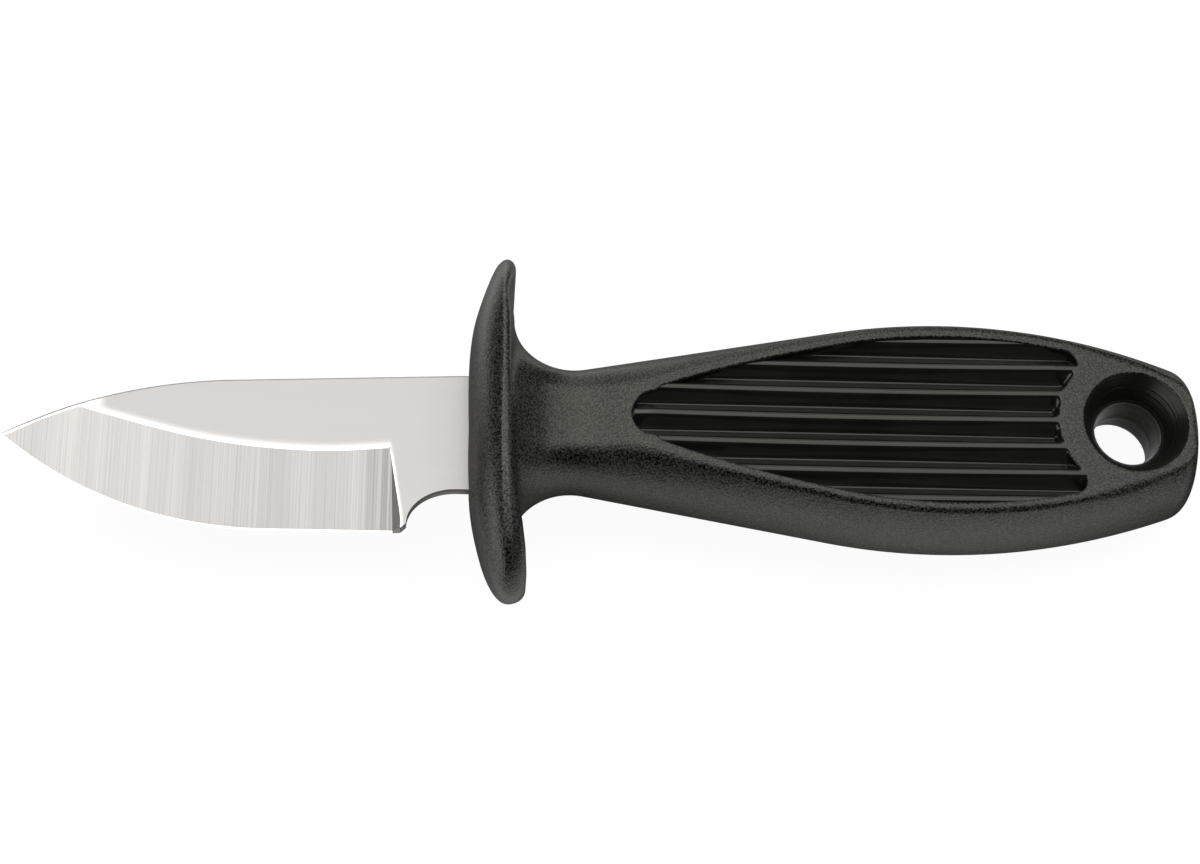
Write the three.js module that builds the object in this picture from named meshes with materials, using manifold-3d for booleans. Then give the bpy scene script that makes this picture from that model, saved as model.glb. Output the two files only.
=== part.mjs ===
// Mussel knife: a stamped and ground steel blade whose tang is moulded into a one-piece plastic handle.
// Millimetres. X runs from the blade's tip to the butt, Y from the cutting edge up to the spine, and
// Z across the blade's thickness. Stations along X are measured from the front of the guard, on the
// handle's axis, positive towards the butt. The finished knife is centred on its bounding box.
import * as THREE from 'three';
import { mergeVertices } from 'three/addons/utils/BufferGeometryUtils.js';
import Module from 'manifold-3d';

// Blade: outline
const bladeLength = 60;
const bladeThickness = 1.4;
const spineHeight = 7.5;
const spineFall = 0.039;
const spineArcRun = 29;
const edgeDepth = 14.35;
const edgeArcRun = 34;
const tipDrop = 1.85;
const tipHeight = 0.4;

// Blade: ground bevel, heel and finger notch
const edgeThickness = 0.12;
const grindWidth = 11;
const grindTaperRun = 17;
const grindTaper = 0.3;
const heelAt = 9.4;
const plungeLength = 1;
const heelLength = 1.45;
const heelRise = 0.85;
const notchLength = 6.5;
const notchHeight = 4.75;

// Blade: hidden tang with two lock holes
const shoulderDepth = 3;
const shoulderSlope = 0.4;
const tangLength = 52;
const tangHeight = 12;
const tangEndHeight = 9;
const lockHoleRadius = 2.2;
const firstLockHole = 21;
const lockHolePitch = 19;
const tangClearance = 0.3;

// Handle: guard
const guardHalfHeight = 23.75;
const guardHalfWidth = 12.8;
const guardRise = 0.45;
const guardDomeDepth = 3.4;
const guardThickness = 4.2;
const guardFrontRidge = 1.5;
const guardFrontRadius = 132;
const guardBackRadius = 105;
const guardBackLean = 0.036;
const guardBackCrown = 1;
const guardRimRounding = 0.9;

// Handle: round spindle with two flats
const handleLength = 95.6;
const neckAt = 13.5;
const neckRadius = 8.04;
const neckFilletHeight = 7;
const neckFilletWidth = 3.4;
const bellyRadius = 15.1;
const bellyFromButt = 33.3;
const bellyArcRadius = 89;
const buttBowRadius = 24;
const buttCorner = 1.5;
const flatHalfThickness = 8.1;

// Handle: ribbed panel sunk in each flat
const panelSetback = 7.1;
const panelNoseRadius = 3;
const panelLand = 1.15;
const panelNoseLand = 2.4;
const panelLandRun = 24;
const panelCornerRadius = 1.9;
const panelDish = 0.55;
const ribPitch = 3.65;
const grooveCount = 6;
const grooveRadius = 1.45;
const grooveEndWall = 0.15;

// Handle: hang hole, a bell mouth from each flat down to a waist on the mid-plane
const holeFromButt = 9.4;
const holeMouthRadius = 6.85;
const holeThroatRadius = 4.4;
const holeThroatDepth = 4.4;
const holeWaistRadius = 3.85;
const bossWidth = 3.35;

// How finely curves are faceted, and how far a cutting body reaches past the surface that it cuts
const roundSteps = 56;
const arcSteps = 12;
const cornerSteps = 5;
const cutOver = 2;

const wasm = await Module();
wasm.setup();

function solidOf(geometry) {
  const bare = geometry.clone();
  bare.deleteAttribute('normal');
  bare.deleteAttribute('uv');
  const merged = mergeVertices(bare, 1e-5);
  const mesh = new wasm.Mesh({
    numProp: 3,
    vertProperties: Float32Array.from(merged.attributes.position.array),
    triVerts: Uint32Array.from(merged.index.array),
  });
  return new wasm.Manifold(mesh);
}

function geometryOf(solid) {
  const mesh = solid.getMesh();
  const geometry = new THREE.BufferGeometry();
  geometry.setAttribute('position', new THREE.BufferAttribute(mesh.vertProperties, 3));
  geometry.setIndex(new THREE.BufferAttribute(mesh.triVerts, 1));
  geometry.computeVertexNormals();
  return geometry;
}

function unite(solids) {
  return solids.reduce((whole, next) => whole.add(next));
}

function ringCentre(ring) {
  return ring.reduce((sum, p) => sum.add(p), new THREE.Vector3()).divideScalar(ring.length);
}

// A closed skin over rings of equal count that follow each other along +X, with a fan over each end
// from a point on the axis. Each ring runs from +Y towards +Z.
function loft(rings, firstPole = ringCentre(rings[0]), lastPole = ringCentre(rings.at(-1))) {
  const count = rings[0].length;
  const points = rings.flat();
  const index = [];
  for (let i = 0; i + 1 < rings.length; i += 1) {
    for (let j = 0; j < count; j += 1) {
      const a = i * count + j;
      const b = i * count + ((j + 1) % count);
      index.push(a, b, a + count);
      index.push(b, b + count, a + count);
    }
  }
  const first = points.push(firstPole) - 1;
  const last = points.push(lastPole) - 1;
  const lastRing = (rings.length - 1) * count;
  for (let j = 0; j < count; j += 1) {
    const next = (j + 1) % count;
    index.push(first, next, j);
    index.push(last, lastRing + j, lastRing + next);
  }
  const geometry = new THREE.BufferGeometry().setFromPoints(points);
  geometry.setIndex(index);
  return solidOf(geometry);
}

function ellipseRing(halfHeight, halfWidth, stationAt, rise = 0) {
  const ring = [];
  for (let j = 0; j < roundSteps; j += 1) {
    const angle = (2 * Math.PI * j) / roundSteps;
    const y = rise + halfHeight * Math.cos(angle);
    const z = halfWidth * Math.sin(angle);
    ring.push(new THREE.Vector3(stationAt(y, z), y, z));
  }
  return ring;
}

function circleSag(radius, offset) {
  return radius - Math.sqrt(radius * radius - offset * offset);
}

function radiusFromRun(run, sag) {
  return (run * run + sag * sag) / (2 * sag);
}

function steps(count) {
  return Array.from({ length: count + 1 }, (_, i) => i / count);
}

// Blade outline: the spine is a straight fall and an arc, the edge a straight run and an arc, both
// ending at a blunt tip.
const spineArcRadius = radiusFromRun(
  spineArcRun,
  spineHeight - spineFall * bladeLength + tipDrop - tipHeight / 2,
);
const edgeArcRadius = radiusFromRun(edgeArcRun, edgeDepth - tipDrop - tipHeight / 2);
const notchRoot = heelAt - heelLength;
const notchFoot = -edgeDepth + heelRise;
const ricassoLower = notchFoot + notchHeight;

function spineAt(x) {
  const intoArc = Math.max(0, spineArcRun - bladeLength - x);
  return spineHeight + spineFall * x - circleSag(spineArcRadius, intoArc);
}

function edgeAt(x) {
  const intoArc = Math.max(0, edgeArcRun - bladeLength - x);
  return -edgeDepth + circleSag(edgeArcRadius, intoArc);
}

// The grind line lies one grind width above the edge, measured square to it, and comes closer
// towards the tip, where it runs out over the spine.
function grindLineAt(x) {
  const fromTip = bladeLength + x;
  const width = grindWidth - grindTaper * Math.max(0, grindTaperRun - fromTip);
  const intoArc = Math.max(0, edgeArcRun - fromTip);
  const offsetRadius = edgeArcRadius - width;
  return -edgeDepth + width + circleSag(offsetRadius, Math.min(intoArc, offsetRadius));
}

function bladeRing(x, lower, upper, middle, lowerHalf, middleHalf, upperHalf) {
  return [
    new THREE.Vector3(x, upper, upperHalf),
    new THREE.Vector3(x, middle, middleHalf),
    new THREE.Vector3(x, lower, lowerHalf),
    new THREE.Vector3(x, lower, -lowerHalf),
    new THREE.Vector3(x, middle, -middleHalf),
    new THREE.Vector3(x, upper, -upperHalf),
  ];
}

function groundRing(x) {
  const lower = edgeAt(x);
  const upper = spineAt(x);
  const line = grindLineAt(x);
  const halfAt = (y) => {
    const share = Math.min(1, (y - lower) / (line - lower));
    return THREE.MathUtils.lerp(edgeThickness, bladeThickness, share) / 2;
  };
  const middle = line < upper ? line : (lower + upper) / 2;
  return bladeRing(x, lower, upper, middle, halfAt(lower), halfAt(middle), halfAt(upper));
}

function flatRing(x, lower, upper, middle = (lower + upper) / 2) {
  const half = bladeThickness / 2;
  return bladeRing(x, lower, upper, middle, half, half, half);
}

function lockPins(radius) {
  return [0, 1].map((i) => {
    const pin = new THREE.CylinderGeometry(radius, radius, 2 * flatHalfThickness, 24);
    pin.rotateX(Math.PI / 2);
    pin.translate(firstLockHole + i * lockHolePitch, 0, 0);
    return solidOf(pin);
  });
}

function makeBlade() {
  const grindEnd = -heelAt - plungeLength;
  const rings = steps(26).map((t) => groundRing(-bladeLength + (bladeLength + grindEnd) * t ** 1.3));
  rings.push(flatRing(-heelAt, edgeAt(-heelAt), spineAt(-heelAt), grindLineAt(-heelAt)));
  for (const t of steps(arcSteps)) {
    const angle = (t * Math.PI) / 2;
    const x = -notchRoot + notchLength * (1 - Math.cos(angle));
    rings.push(flatRing(x, notchFoot + notchHeight * Math.sin(angle), spineAt(x)));
  }
  rings.push(flatRing(shoulderDepth, ricassoLower, spineHeight));
  rings.push(flatRing(shoulderDepth + shoulderSlope, -tangHeight / 2, tangHeight / 2));
  rings.push(flatRing(tangLength, -tangEndHeight / 2, tangEndHeight / 2));
  return lockPins(lockHoleRadius).reduce((blade, hole) => blade.subtract(hole), loft(rings));
}

// The space that the tang fills in the handle, one clearance larger all round, open at the guard's
// front, with the plastic pillars that pass through the lock holes left standing.
function makeTangSlot() {
  const half = bladeThickness / 2 + tangClearance;
  const slotRing = (x, lower, upper) => {
    const low = lower - tangClearance;
    const high = upper + tangClearance;
    return bladeRing(x, low, high, (low + high) / 2, half, half, half);
  };
  const slot = loft([
    slotRing(-cutOver, ricassoLower, spineHeight),
    slotRing(shoulderDepth + tangClearance, ricassoLower, spineHeight),
    slotRing(shoulderDepth + tangClearance + shoulderSlope, -tangHeight / 2, tangHeight / 2),
    slotRing(tangLength + tangClearance, -tangEndHeight / 2, tangEndHeight / 2),
  ]);
  return lockPins(lockHoleRadius - tangClearance).reduce((left, pillar) => left.subtract(pillar), slot);
}

// Stations of the guard's widest outline and of its back edge. Both sweep back towards the tips.
function guardRimAt(y) {
  return guardDomeDepth + circleSag(guardFrontRadius, y);
}

function guardBackAt(y) {
  return guardThickness + circleSag(guardBackRadius, y) - guardBackLean * y;
}

// The guard is an oval dome, peaked along the blade's plane, with a rounded rim and a back that crowns
// up to the neck. It is skinned by ovals that run over the dome, round the rim and over the back.
function makeGuard() {
  const oval = (scale, inset, station) => {
    const [high, wide] = [guardHalfHeight - inset, guardHalfWidth - inset];
    return ellipseRing(scale * high, scale * wide, station, scale * guardRise);
  };
  const rings = [];
  for (const t of steps(10).slice(1)) {
    const angle = (t * Math.PI) / 2;
    const ridge = guardFrontRidge * Math.cos(angle);
    rings.push(oval(Math.sin(angle), 0, (y, z) => {
      return guardRimAt(y) * (1 - Math.cos(angle)) + ridge * (z / guardHalfWidth) ** 2;
    }));
  }
  for (const t of steps(cornerSteps).slice(1)) {
    const angle = (t * Math.PI) / 2;
    const station = (y) => THREE.MathUtils.lerp(guardRimAt(y), guardBackAt(y), Math.sin(angle));
    rings.push(oval(1, guardRimRounding * (1 - Math.cos(angle)), station));
  }
  for (const scale of [0.85, 0.65, 0.4, 0.15]) {
    const crown = guardBackCrown * (1 - scale ** 2);
    rings.push(oval(scale, guardRimRounding, (y) => guardBackAt(y) + crown));
  }
  return loft(rings, new THREE.Vector3());
}

// Spindle outline: a cone rises from the neck and runs tangent into the belly arc, which falls to the
// bowed butt end.
const bellyAt = handleLength - bellyFromButt;
const bellyCentre = bellyRadius - bellyArcRadius;
const neckToCentre = new THREE.Vector2(bellyAt - neckAt, bellyCentre - neckRadius);
const coneAngle = neckToCentre.angle() - 2 * Math.PI + Math.asin(bellyArcRadius / neckToCentre.length());
const coneEnd = bellyAt - bellyArcRadius * Math.sin(coneAngle);

function spindleRadiusAt(x) {
  if (x < coneEnd) {
    return neckRadius + Math.tan(coneAngle) * (x - neckAt);
  }
  return bellyRadius - circleSag(bellyArcRadius, x - bellyAt);
}

function buttEndAt(radius) {
  return handleLength - circleSag(buttBowRadius, radius);
}

function bisect(low, high, isBelow) {
  let [a, b] = [low, high];
  for (let i = 0; i < 40; i += 1) {
    const middle = (a + b) / 2;
    if (isBelow(middle)) {
      a = middle;
    } else {
      b = middle;
    }
  }
  return (a + b) / 2;
}

function makeSpindle() {
  const rings = [];
  // The root starts inside the guard and flares out of its back as a fillet, wider in Y than in Z.
  const rootSpan = THREE.MathUtils.degToRad(80);
  const rootRing = (angle, back) => {
    const flare = 1 - Math.sin(angle);
    const station = (y) => {
      const seat = guardBackAt(y) + guardBackCrown * (1 - (y / guardHalfHeight) ** 2);
      return seat + (neckAt - seat) * (1 - Math.cos(angle)) - back;
    };
    return ellipseRing(neckRadius + neckFilletHeight * flare, neckRadius + neckFilletWidth * flare, station);
  };
  rings.push(rootRing(Math.PI / 2 - rootSpan, guardThickness / 2));
  for (const t of steps(8)) {
    rings.push(rootRing(Math.PI / 2 - rootSpan * (1 - t), 0));
  }
  const round = (x, radius) => rings.push(ellipseRing(radius, radius, () => x));
  for (const t of steps(4).slice(1)) {
    const x = THREE.MathUtils.lerp(neckAt, coneEnd, t);
    round(x, spindleRadiusAt(x));
  }
  const rimRadius = bisect(0, bellyRadius, (r) => spindleRadiusAt(buttEndAt(r)) > r);
  const rimAt = buttEndAt(rimRadius);
  for (const t of steps(14).slice(1)) {
    const x = THREE.MathUtils.lerp(coneEnd, rimAt - buttCorner, t);
    round(x, spindleRadiusAt(x));
  }
  const corner = new THREE.QuadraticBezierCurve(
    new THREE.Vector2(rimAt - buttCorner, spindleRadiusAt(rimAt - buttCorner)),
    new THREE.Vector2(rimAt, rimRadius),
    new THREE.Vector2(buttEndAt(rimRadius - buttCorner), rimRadius - buttCorner),
  );
  for (const point of corner.getPoints(cornerSteps).slice(1)) {
    round(point.x, point.y);
  }
  for (const t of [0.75, 0.5, 0.25]) {
    const radius = t * (rimRadius - buttCorner);
    round(buttEndAt(radius), radius);
  }
  return loft(rings, ringCentre(rings[0]), new THREE.Vector3(handleLength, 0, 0));
}

// A body made on the upper flat, repeated on the lower one by half a turn about the axis.
function onBothFlats(geometry) {
  const lower = geometry.clone();
  lower.rotateX(Math.PI);
  return solidOf(geometry).add(solidOf(lower));
}

// Waste above each flat, from the neck to the butt.
function makeFlatCut() {
  const depth = bellyRadius;
  const length = handleLength - neckAt + cutOver;
  const waste = new THREE.BoxGeometry(length, 4 * bellyRadius, depth);
  waste.translate(neckAt + length / 2, 0, flatHalfThickness + depth / 2);
  return onBothFlats(waste);
}

// Panel outline: a round nose, flanks that follow the edge of the flat inside a land, small rear
// corners, and a hollow end that goes round the hang hole's boss.
const flatStart = neckAt + Math.max(0, flatHalfThickness - neckRadius) / Math.tan(coneAngle);
const panelNoseAt = flatStart + panelSetback;
const panelTop = flatHalfThickness + cutOver;
const grooveCentre = flatHalfThickness - panelDish;
const holeAt = handleLength - holeFromButt;
const bossRadius = holeMouthRadius + bossWidth;

function panelFlankAt(x) {
  const flatEdge = Math.sqrt(Math.max(0, spindleRadiusAt(x) ** 2 - flatHalfThickness ** 2));
  const nearNose = Math.max(0, 1 - (x - panelNoseAt) / panelLandRun);
  return flatEdge - THREE.MathUtils.lerp(panelLand, panelNoseLand, nearNose ** 2);
}

function findPanelCorner() {
  const height = (x) => panelFlankAt(x) - panelCornerRadius;
  const x = bisect(holeAt - bossRadius - panelCornerRadius, holeAt, (at) => {
    return Math.hypot(holeAt - at, height(at)) > bossRadius + panelCornerRadius;
  });
  return new THREE.Vector2(x, height(x));
}

const panelCorner = findPanelCorner();

// Where the panel ends towards the butt, at a height up to its corner.
function panelRearAt(y) {
  const overCorner = Math.abs(y) - panelCorner.y;
  if (overCorner > 0) {
    return panelCorner.x + Math.sqrt(Math.max(0, panelCornerRadius ** 2 - overCorner ** 2));
  }
  return holeAt - Math.sqrt(bossRadius ** 2 - y ** 2);
}

function panelOutline() {
  const noseCentre = panelNoseAt + panelNoseRadius;
  const noseEnd = bisect(panelNoseAt, noseCentre, (x) => {
    const circle = Math.sqrt(Math.max(0, panelNoseRadius ** 2 - (x - noseCentre) ** 2));
    return circle < panelFlankAt(x);
  });
  const noseTurn = Math.acos((noseEnd - noseCentre) / panelNoseRadius);
  const bossTurn = Math.atan2(panelCorner.y, panelCorner.x - holeAt);
  const upper = [];
  for (const t of steps(cornerSteps)) {
    const angle = Math.PI - t * (Math.PI - noseTurn);
    upper.push([noseCentre + panelNoseRadius * Math.cos(angle), panelNoseRadius * Math.sin(angle)]);
  }
  for (const t of steps(2 * arcSteps).slice(1)) {
    const x = THREE.MathUtils.lerp(noseEnd, panelCorner.x, t);
    upper.push([x, panelFlankAt(x)]);
  }
  for (const t of steps(cornerSteps).slice(1)) {
    const angle = Math.PI / 2 - t * (Math.PI * 1.5 - bossTurn);
    const [along, across] = [panelCornerRadius * Math.cos(angle), panelCornerRadius * Math.sin(angle)];
    upper.push([panelCorner.x + along, panelCorner.y + across]);
  }
  for (const t of steps(arcSteps).slice(1)) {
    const angle = THREE.MathUtils.lerp(bossTurn, Math.PI, t);
    upper.push([holeAt + bossRadius * Math.cos(angle), bossRadius * Math.sin(angle)]);
  }
  const lower = upper.slice(1, -1).reverse();
  const outline = [...upper, ...lower.map(([x, y]) => [x, -y])];
  return new THREE.Shape(outline.map(([x, y]) => new THREE.Vector2(x, y)));
}

// The shallow lengthwise dish that is sunk over the rib crests, as wide as the handle.
function dishGeometry() {
  const dishEnd = holeAt - bossRadius;
  const shape = new THREE.Shape();
  shape.moveTo(panelNoseAt, panelTop);
  shape.lineTo(panelNoseAt, flatHalfThickness);
  const lowPoint = flatHalfThickness - 2 * panelDish;
  shape.quadraticCurveTo((panelNoseAt + dishEnd) / 2, lowPoint, dishEnd, flatHalfThickness);
  shape.lineTo(holeAt, flatHalfThickness);
  shape.lineTo(holeAt, panelTop);
  const dish = new THREE.ExtrudeGeometry(shape, {
    depth: 4 * bellyRadius,
    bevelEnabled: false,
    curveSegments: arcSteps,
  });
  dish.rotateX(Math.PI / 2);
  dish.translate(0, 2 * bellyRadius, 0);
  return dish;
}

// One groove: a round-bottomed channel from the nose, and the ball end that closes it at the boss.
function grooveGeometries(y) {
  const end = panelRearAt(y) - grooveRadius - grooveEndWall;
  const height = panelTop - grooveCentre;
  const shape = new THREE.Shape();
  shape.moveTo(-grooveRadius, height);
  shape.lineTo(-grooveRadius, 0);
  shape.absarc(0, 0, grooveRadius, Math.PI, 2 * Math.PI, false);
  shape.lineTo(grooveRadius, height);
  const channel = new THREE.ExtrudeGeometry(shape, {
    depth: end - panelNoseAt + cutOver,
    bevelEnabled: false,
    curveSegments: 2 * cornerSteps,
  });
  channel.rotateX(Math.PI / 2);
  channel.rotateZ(Math.PI / 2);
  channel.translate(panelNoseAt - cutOver, y, grooveCentre);

  const profile = steps(cornerSteps).map((t) => {
    const angle = (t * Math.PI) / 2;
    return new THREE.Vector2(grooveRadius * Math.sin(angle), -grooveRadius * Math.cos(angle));
  });
  profile.push(new THREE.Vector2(grooveRadius, height), new THREE.Vector2(0, height));
  const ballEnd = new THREE.LatheGeometry(profile, 4 * cornerSteps);
  ballEnd.rotateX(Math.PI / 2);
  ballEnd.translate(end, y, grooveCentre);
  return [channel, ballEnd];
}

// The cuts for both panels: the dish and a row of grooves between the crests, both kept inside the
// panel outline.
function makePanelCuts() {
  const prism = new THREE.ExtrudeGeometry(panelOutline(), { depth: panelTop, bevelEnabled: false });
  const hollows = [dishGeometry()];
  for (let i = 0; i < grooveCount; i += 1) {
    hollows.push(...grooveGeometries((i - (grooveCount - 1) / 2) * ribPitch));
  }
  return onBothFlats(prism).intersect(unite(hollows.map(onBothFlats)));
}

function makeHangHole() {
  const face = flatHalfThickness;
  const bellWidth = holeMouthRadius - holeThroatRadius;
  const bell = new THREE.QuadraticBezierCurve(
    new THREE.Vector2(holeThroatRadius, face - holeThroatDepth),
    new THREE.Vector2(holeThroatRadius + bellWidth / 4, face - holeThroatDepth / 3),
    new THREE.Vector2(holeMouthRadius, face),
  );
  const half = [
    new THREE.Vector2(holeWaistRadius, 0),
    ...bell.getPoints(cornerSteps),
    new THREE.Vector2(holeMouthRadius + cutOver, face + cutOver),
    new THREE.Vector2(0, face + cutOver),
  ];
  const mirrored = half.slice(1).reverse().map((p) => new THREE.Vector2(p.x, -p.y));
  const plug = new THREE.LatheGeometry([...mirrored, ...half], 40);
  plug.rotateX(Math.PI / 2);
  plug.translate(holeAt, 0, 0);
  return solidOf(plug);
}

function makeHandle() {
  const spindle = makeSpindle().subtract(makeFlatCut());
  const body = makeGuard().add(spindle);
  const cuts = [makePanelCuts(), makeHangHole(), makeTangSlot()];
  return cuts.reduce((left, cut) => left.subtract(cut), body);
}

const steel = new THREE.MeshStandardMaterial({ color: 0xd8d5d2, roughness: 0.32, metalness: 1 });
const blackPlastic = new THREE.MeshStandardMaterial({ color: 0x2b2b29, roughness: 0.55, metalness: 0 });

const blade = new THREE.Mesh(geometryOf(makeBlade()), steel);
blade.name = 'blade';

const handle = new THREE.Mesh(geometryOf(makeHandle()), blackPlastic);
handle.name = 'handle';

const knife = new THREE.Group();
knife.name = 'mussel_knife';
knife.position.set((bladeLength - handleLength) / 2, -guardRise, 0);
knife.add(blade, handle);

export default knife;
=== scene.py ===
import math

import bmesh
import bpy
import numpy as np
from mathutils import Matrix, Vector


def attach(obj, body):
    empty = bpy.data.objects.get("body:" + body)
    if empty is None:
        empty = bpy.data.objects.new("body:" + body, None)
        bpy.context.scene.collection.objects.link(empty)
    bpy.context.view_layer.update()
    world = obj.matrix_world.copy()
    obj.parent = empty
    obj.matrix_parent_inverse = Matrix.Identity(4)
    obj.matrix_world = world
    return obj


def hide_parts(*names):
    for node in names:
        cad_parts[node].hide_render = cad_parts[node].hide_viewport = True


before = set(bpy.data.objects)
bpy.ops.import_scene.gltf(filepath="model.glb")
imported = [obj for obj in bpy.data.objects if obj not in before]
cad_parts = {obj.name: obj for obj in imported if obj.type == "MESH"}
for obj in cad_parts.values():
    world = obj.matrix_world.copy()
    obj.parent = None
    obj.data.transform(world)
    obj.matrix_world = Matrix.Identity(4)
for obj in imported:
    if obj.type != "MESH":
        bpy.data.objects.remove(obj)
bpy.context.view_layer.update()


# Blade: one blank of stainless steel strip, stamped to its outline, tumbled so that its flats roll off
# a little towards the grind, then ground across both sides to the edge and whetted with a fine second
# bevel. Its tang goes 52 mm into the handle, which is moulded round it.
MM = 0.001
BLADE_LENGTH = 60.0
HANDLE_LENGTH = 95.6
GUARD_RISE = 0.45
BLADE_HALF = 0.7
SPINE_HEIGHT = 7.6
SPINE_FALL = 0.042
SPINE_ARC_RUN = 29.0
EDGE_DEPTH = 14.35
EDGE_ARC_RUN = 34.0
TIP_DROP = 1.85
TIP_HEIGHT = 0.4
GRIND_STATIONS = (-52.0, -49.3, -45.0, -40.6, -36.3, -30.1, -24.0, -18.0, -10.13)
GRIND_LINE = (2.62, 1.72, 0.5, -0.68, -1.72, -2.76, -3.32, -3.46, -2.9)
GRIND_END = -9.42
GRIND_END_LEAN = 0.48
PLUNGE_TOP = -10.13
PLUNGE_RUN = 1.67
PLUNGE_FULL = 0.84
HEEL_END = -7.72
HEEL_RISE = 0.95
HEEL_CURL = 2.5
NOTCH_LENGTH = 6.3
NOTCH_HEIGHT = 4.75
EDGE_HALF = 0.06
WHET_WIDTH = 0.3
WHET_HALF = 0.036
ROLL_WIDTH = 1.45
ROLL_DROP = 0.03
ROLL_ASIDE = 0.62
ROLL_SHARE = 0.7
ROLL_LEAST = 0.1
FLAT_LEAST = 0.55
FLAT_FADE = 1.3
UNGROUND_SPLIT = 0.45
SPINE_ROUND = 0.22
SPINE_ROUND_SHARE = 0.6
SPINE_HOLD = 0.05
CUT_ROUND = SPINE_ROUND * 0.8
ROUND_MIDDLE = 0.3
PLUNGE_EDGE = 0.01
SHOULDER_DEPTH = 3.0
SHOULDER_STEP = 0.4
TANG_LENGTH = 52.0
TANG_HALF_HEIGHTS = (6.0, 4.5)


def place(station, y, z):
    """A point in metres, from a station behind the guard's front and offsets from the handle's axis."""
    return ((station + (BLADE_LENGTH - HANDLE_LENGTH) / 2) * MM, (y - GUARD_RISE) * MM, z * MM)


def circle_sag(radius, offset):
    return radius - math.sqrt(max(0.0, radius * radius - offset * offset))


def radius_from_run(run, sag):
    return (run * run + sag * sag) / (2 * sag)


def mix(a, b, share):
    return a + (b - a) * share


def smooth(share):
    s = min(1.0, max(0.0, share))
    return s * s * (3 - 2 * s)


SPINE_ARC = radius_from_run(
    SPINE_ARC_RUN, SPINE_HEIGHT - SPINE_FALL * BLADE_LENGTH + TIP_DROP - TIP_HEIGHT / 2
)
EDGE_ARC = radius_from_run(EDGE_ARC_RUN, EDGE_DEPTH - TIP_DROP - TIP_HEIGHT / 2)
RICASSO_LOWER = -EDGE_DEPTH + HEEL_RISE + NOTCH_HEIGHT


def spine_at(x):
    into_arc = max(0.0, SPINE_ARC_RUN - BLADE_LENGTH - x)
    return SPINE_HEIGHT + SPINE_FALL * x - circle_sag(SPINE_ARC, into_arc)


def edge_at(x):
    into_arc = max(0.0, EDGE_ARC_RUN - BLADE_LENGTH - x)
    return -EDGE_DEPTH + circle_sag(EDGE_ARC, into_arc)


def grind_line_at(x):
    """The crease between flat and grind: a smooth curve through its measured stations."""
    near = np.clip(np.searchsorted(GRIND_STATIONS, x) - 1, 0, len(GRIND_STATIONS) - 2)
    slopes = np.gradient(GRIND_LINE, GRIND_STATIONS)
    step = GRIND_STATIONS[near + 1] - GRIND_STATIONS[near]
    t = (x - GRIND_STATIONS[near]) / step
    if t < 0:
        return GRIND_LINE[0] + slopes[0] * (x - GRIND_STATIONS[0])
    t = min(t, 1.0)
    ends = GRIND_LINE[near] * (1 + 2 * t) * (1 - t) ** 2 + GRIND_LINE[near + 1] * t * t * (3 - 2 * t)
    return ends + step * (slopes[near] * t * (1 - t) ** 2 - slopes[near + 1] * t * t * (1 - t))


SPINE_POINTS = 3
FLAT_POINTS = 6
ROLL_POINTS = 5
BEVEL_POINTS = 9
GRIND_POINT = SPINE_POINTS + FLAT_POINTS + ROLL_POINTS
WHET_POINT = GRIND_POINT + BEVEL_POINTS


def heel_at(x):
    """The lower outline behind the grind, which lifts in a round towards the finger notch."""
    share = min(1.0, max(0.0, (x - GRIND_END) / (HEEL_END - GRIND_END)))
    return -EDGE_DEPTH + HEEL_RISE * share ** HEEL_CURL


def blade_profile(x, ground, lower, upper):
    """Half a section from the middle of the spine to the middle of the edge: station, y, half, roll."""
    line = min(grind_line_at(x), upper - FLAT_LEAST) if ground else mix(lower, upper, UNGROUND_SPLIT)
    rise = (upper - lower) / max(1e-6, grind_line_at(x) - lower)
    full = BLADE_HALF * min(1.0, rise) if ground else BLADE_HALF
    drop = ROLL_DROP if ground else 0.0
    turn = min(SPINE_ROUND, full * SPINE_ROUND_SHARE)
    top = upper - turn
    roll = max(min(ROLL_WIDTH, (top - line) * ROLL_SHARE), ROLL_LEAST)
    narrow = smooth(1 - (top - line - roll) / FLAT_FADE) if ground else 0.0
    points = [(x, upper, 0.0, 0.0), (x, upper, full - turn, 0.0)]
    points.append((x, upper - turn * ROUND_MIDDLE, full - turn * ROUND_MIDDLE, 0.0))
    for i in range(FLAT_POINTS):
        y = mix(top, line + roll, max(0, i - 1) / (FLAT_POINTS - 1)) - (SPINE_HOLD if i == 1 else 0.0)
        points.append((x, y, full, narrow))
    for i in range(ROLL_POINTS):
        share = i / ROLL_POINTS
        half = full - drop * share * share
        points.append((x, mix(line + roll, line, share), half, max(narrow, share) if ground else 0.0))
    bottom = lower + (WHET_WIDTH if ground else SPINE_ROUND)
    bottom_half = EDGE_HALF if ground else BLADE_HALF
    for i in range(BEVEL_POINTS):
        share = i / BEVEL_POINTS
        half = mix(full - drop, bottom_half, share)
        points.append((x, mix(line, bottom, share), half, 1.0 if ground and i == 0 else 0.0))
    points.append((x, bottom, bottom_half, 0.0))
    points.append((x, lower, WHET_HALF if ground else BLADE_HALF - CUT_ROUND, 0.0))
    points.append((x, lower, 0.0, 0.0))
    return points


def plunge_at(depth):
    return PLUNGE_TOP + PLUNGE_RUN * min(1.0, max(0.0, depth) / PLUNGE_FULL)


def last_cut_at(depth):
    return GRIND_END - GRIND_END_LEAN * (1 - depth)


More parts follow.
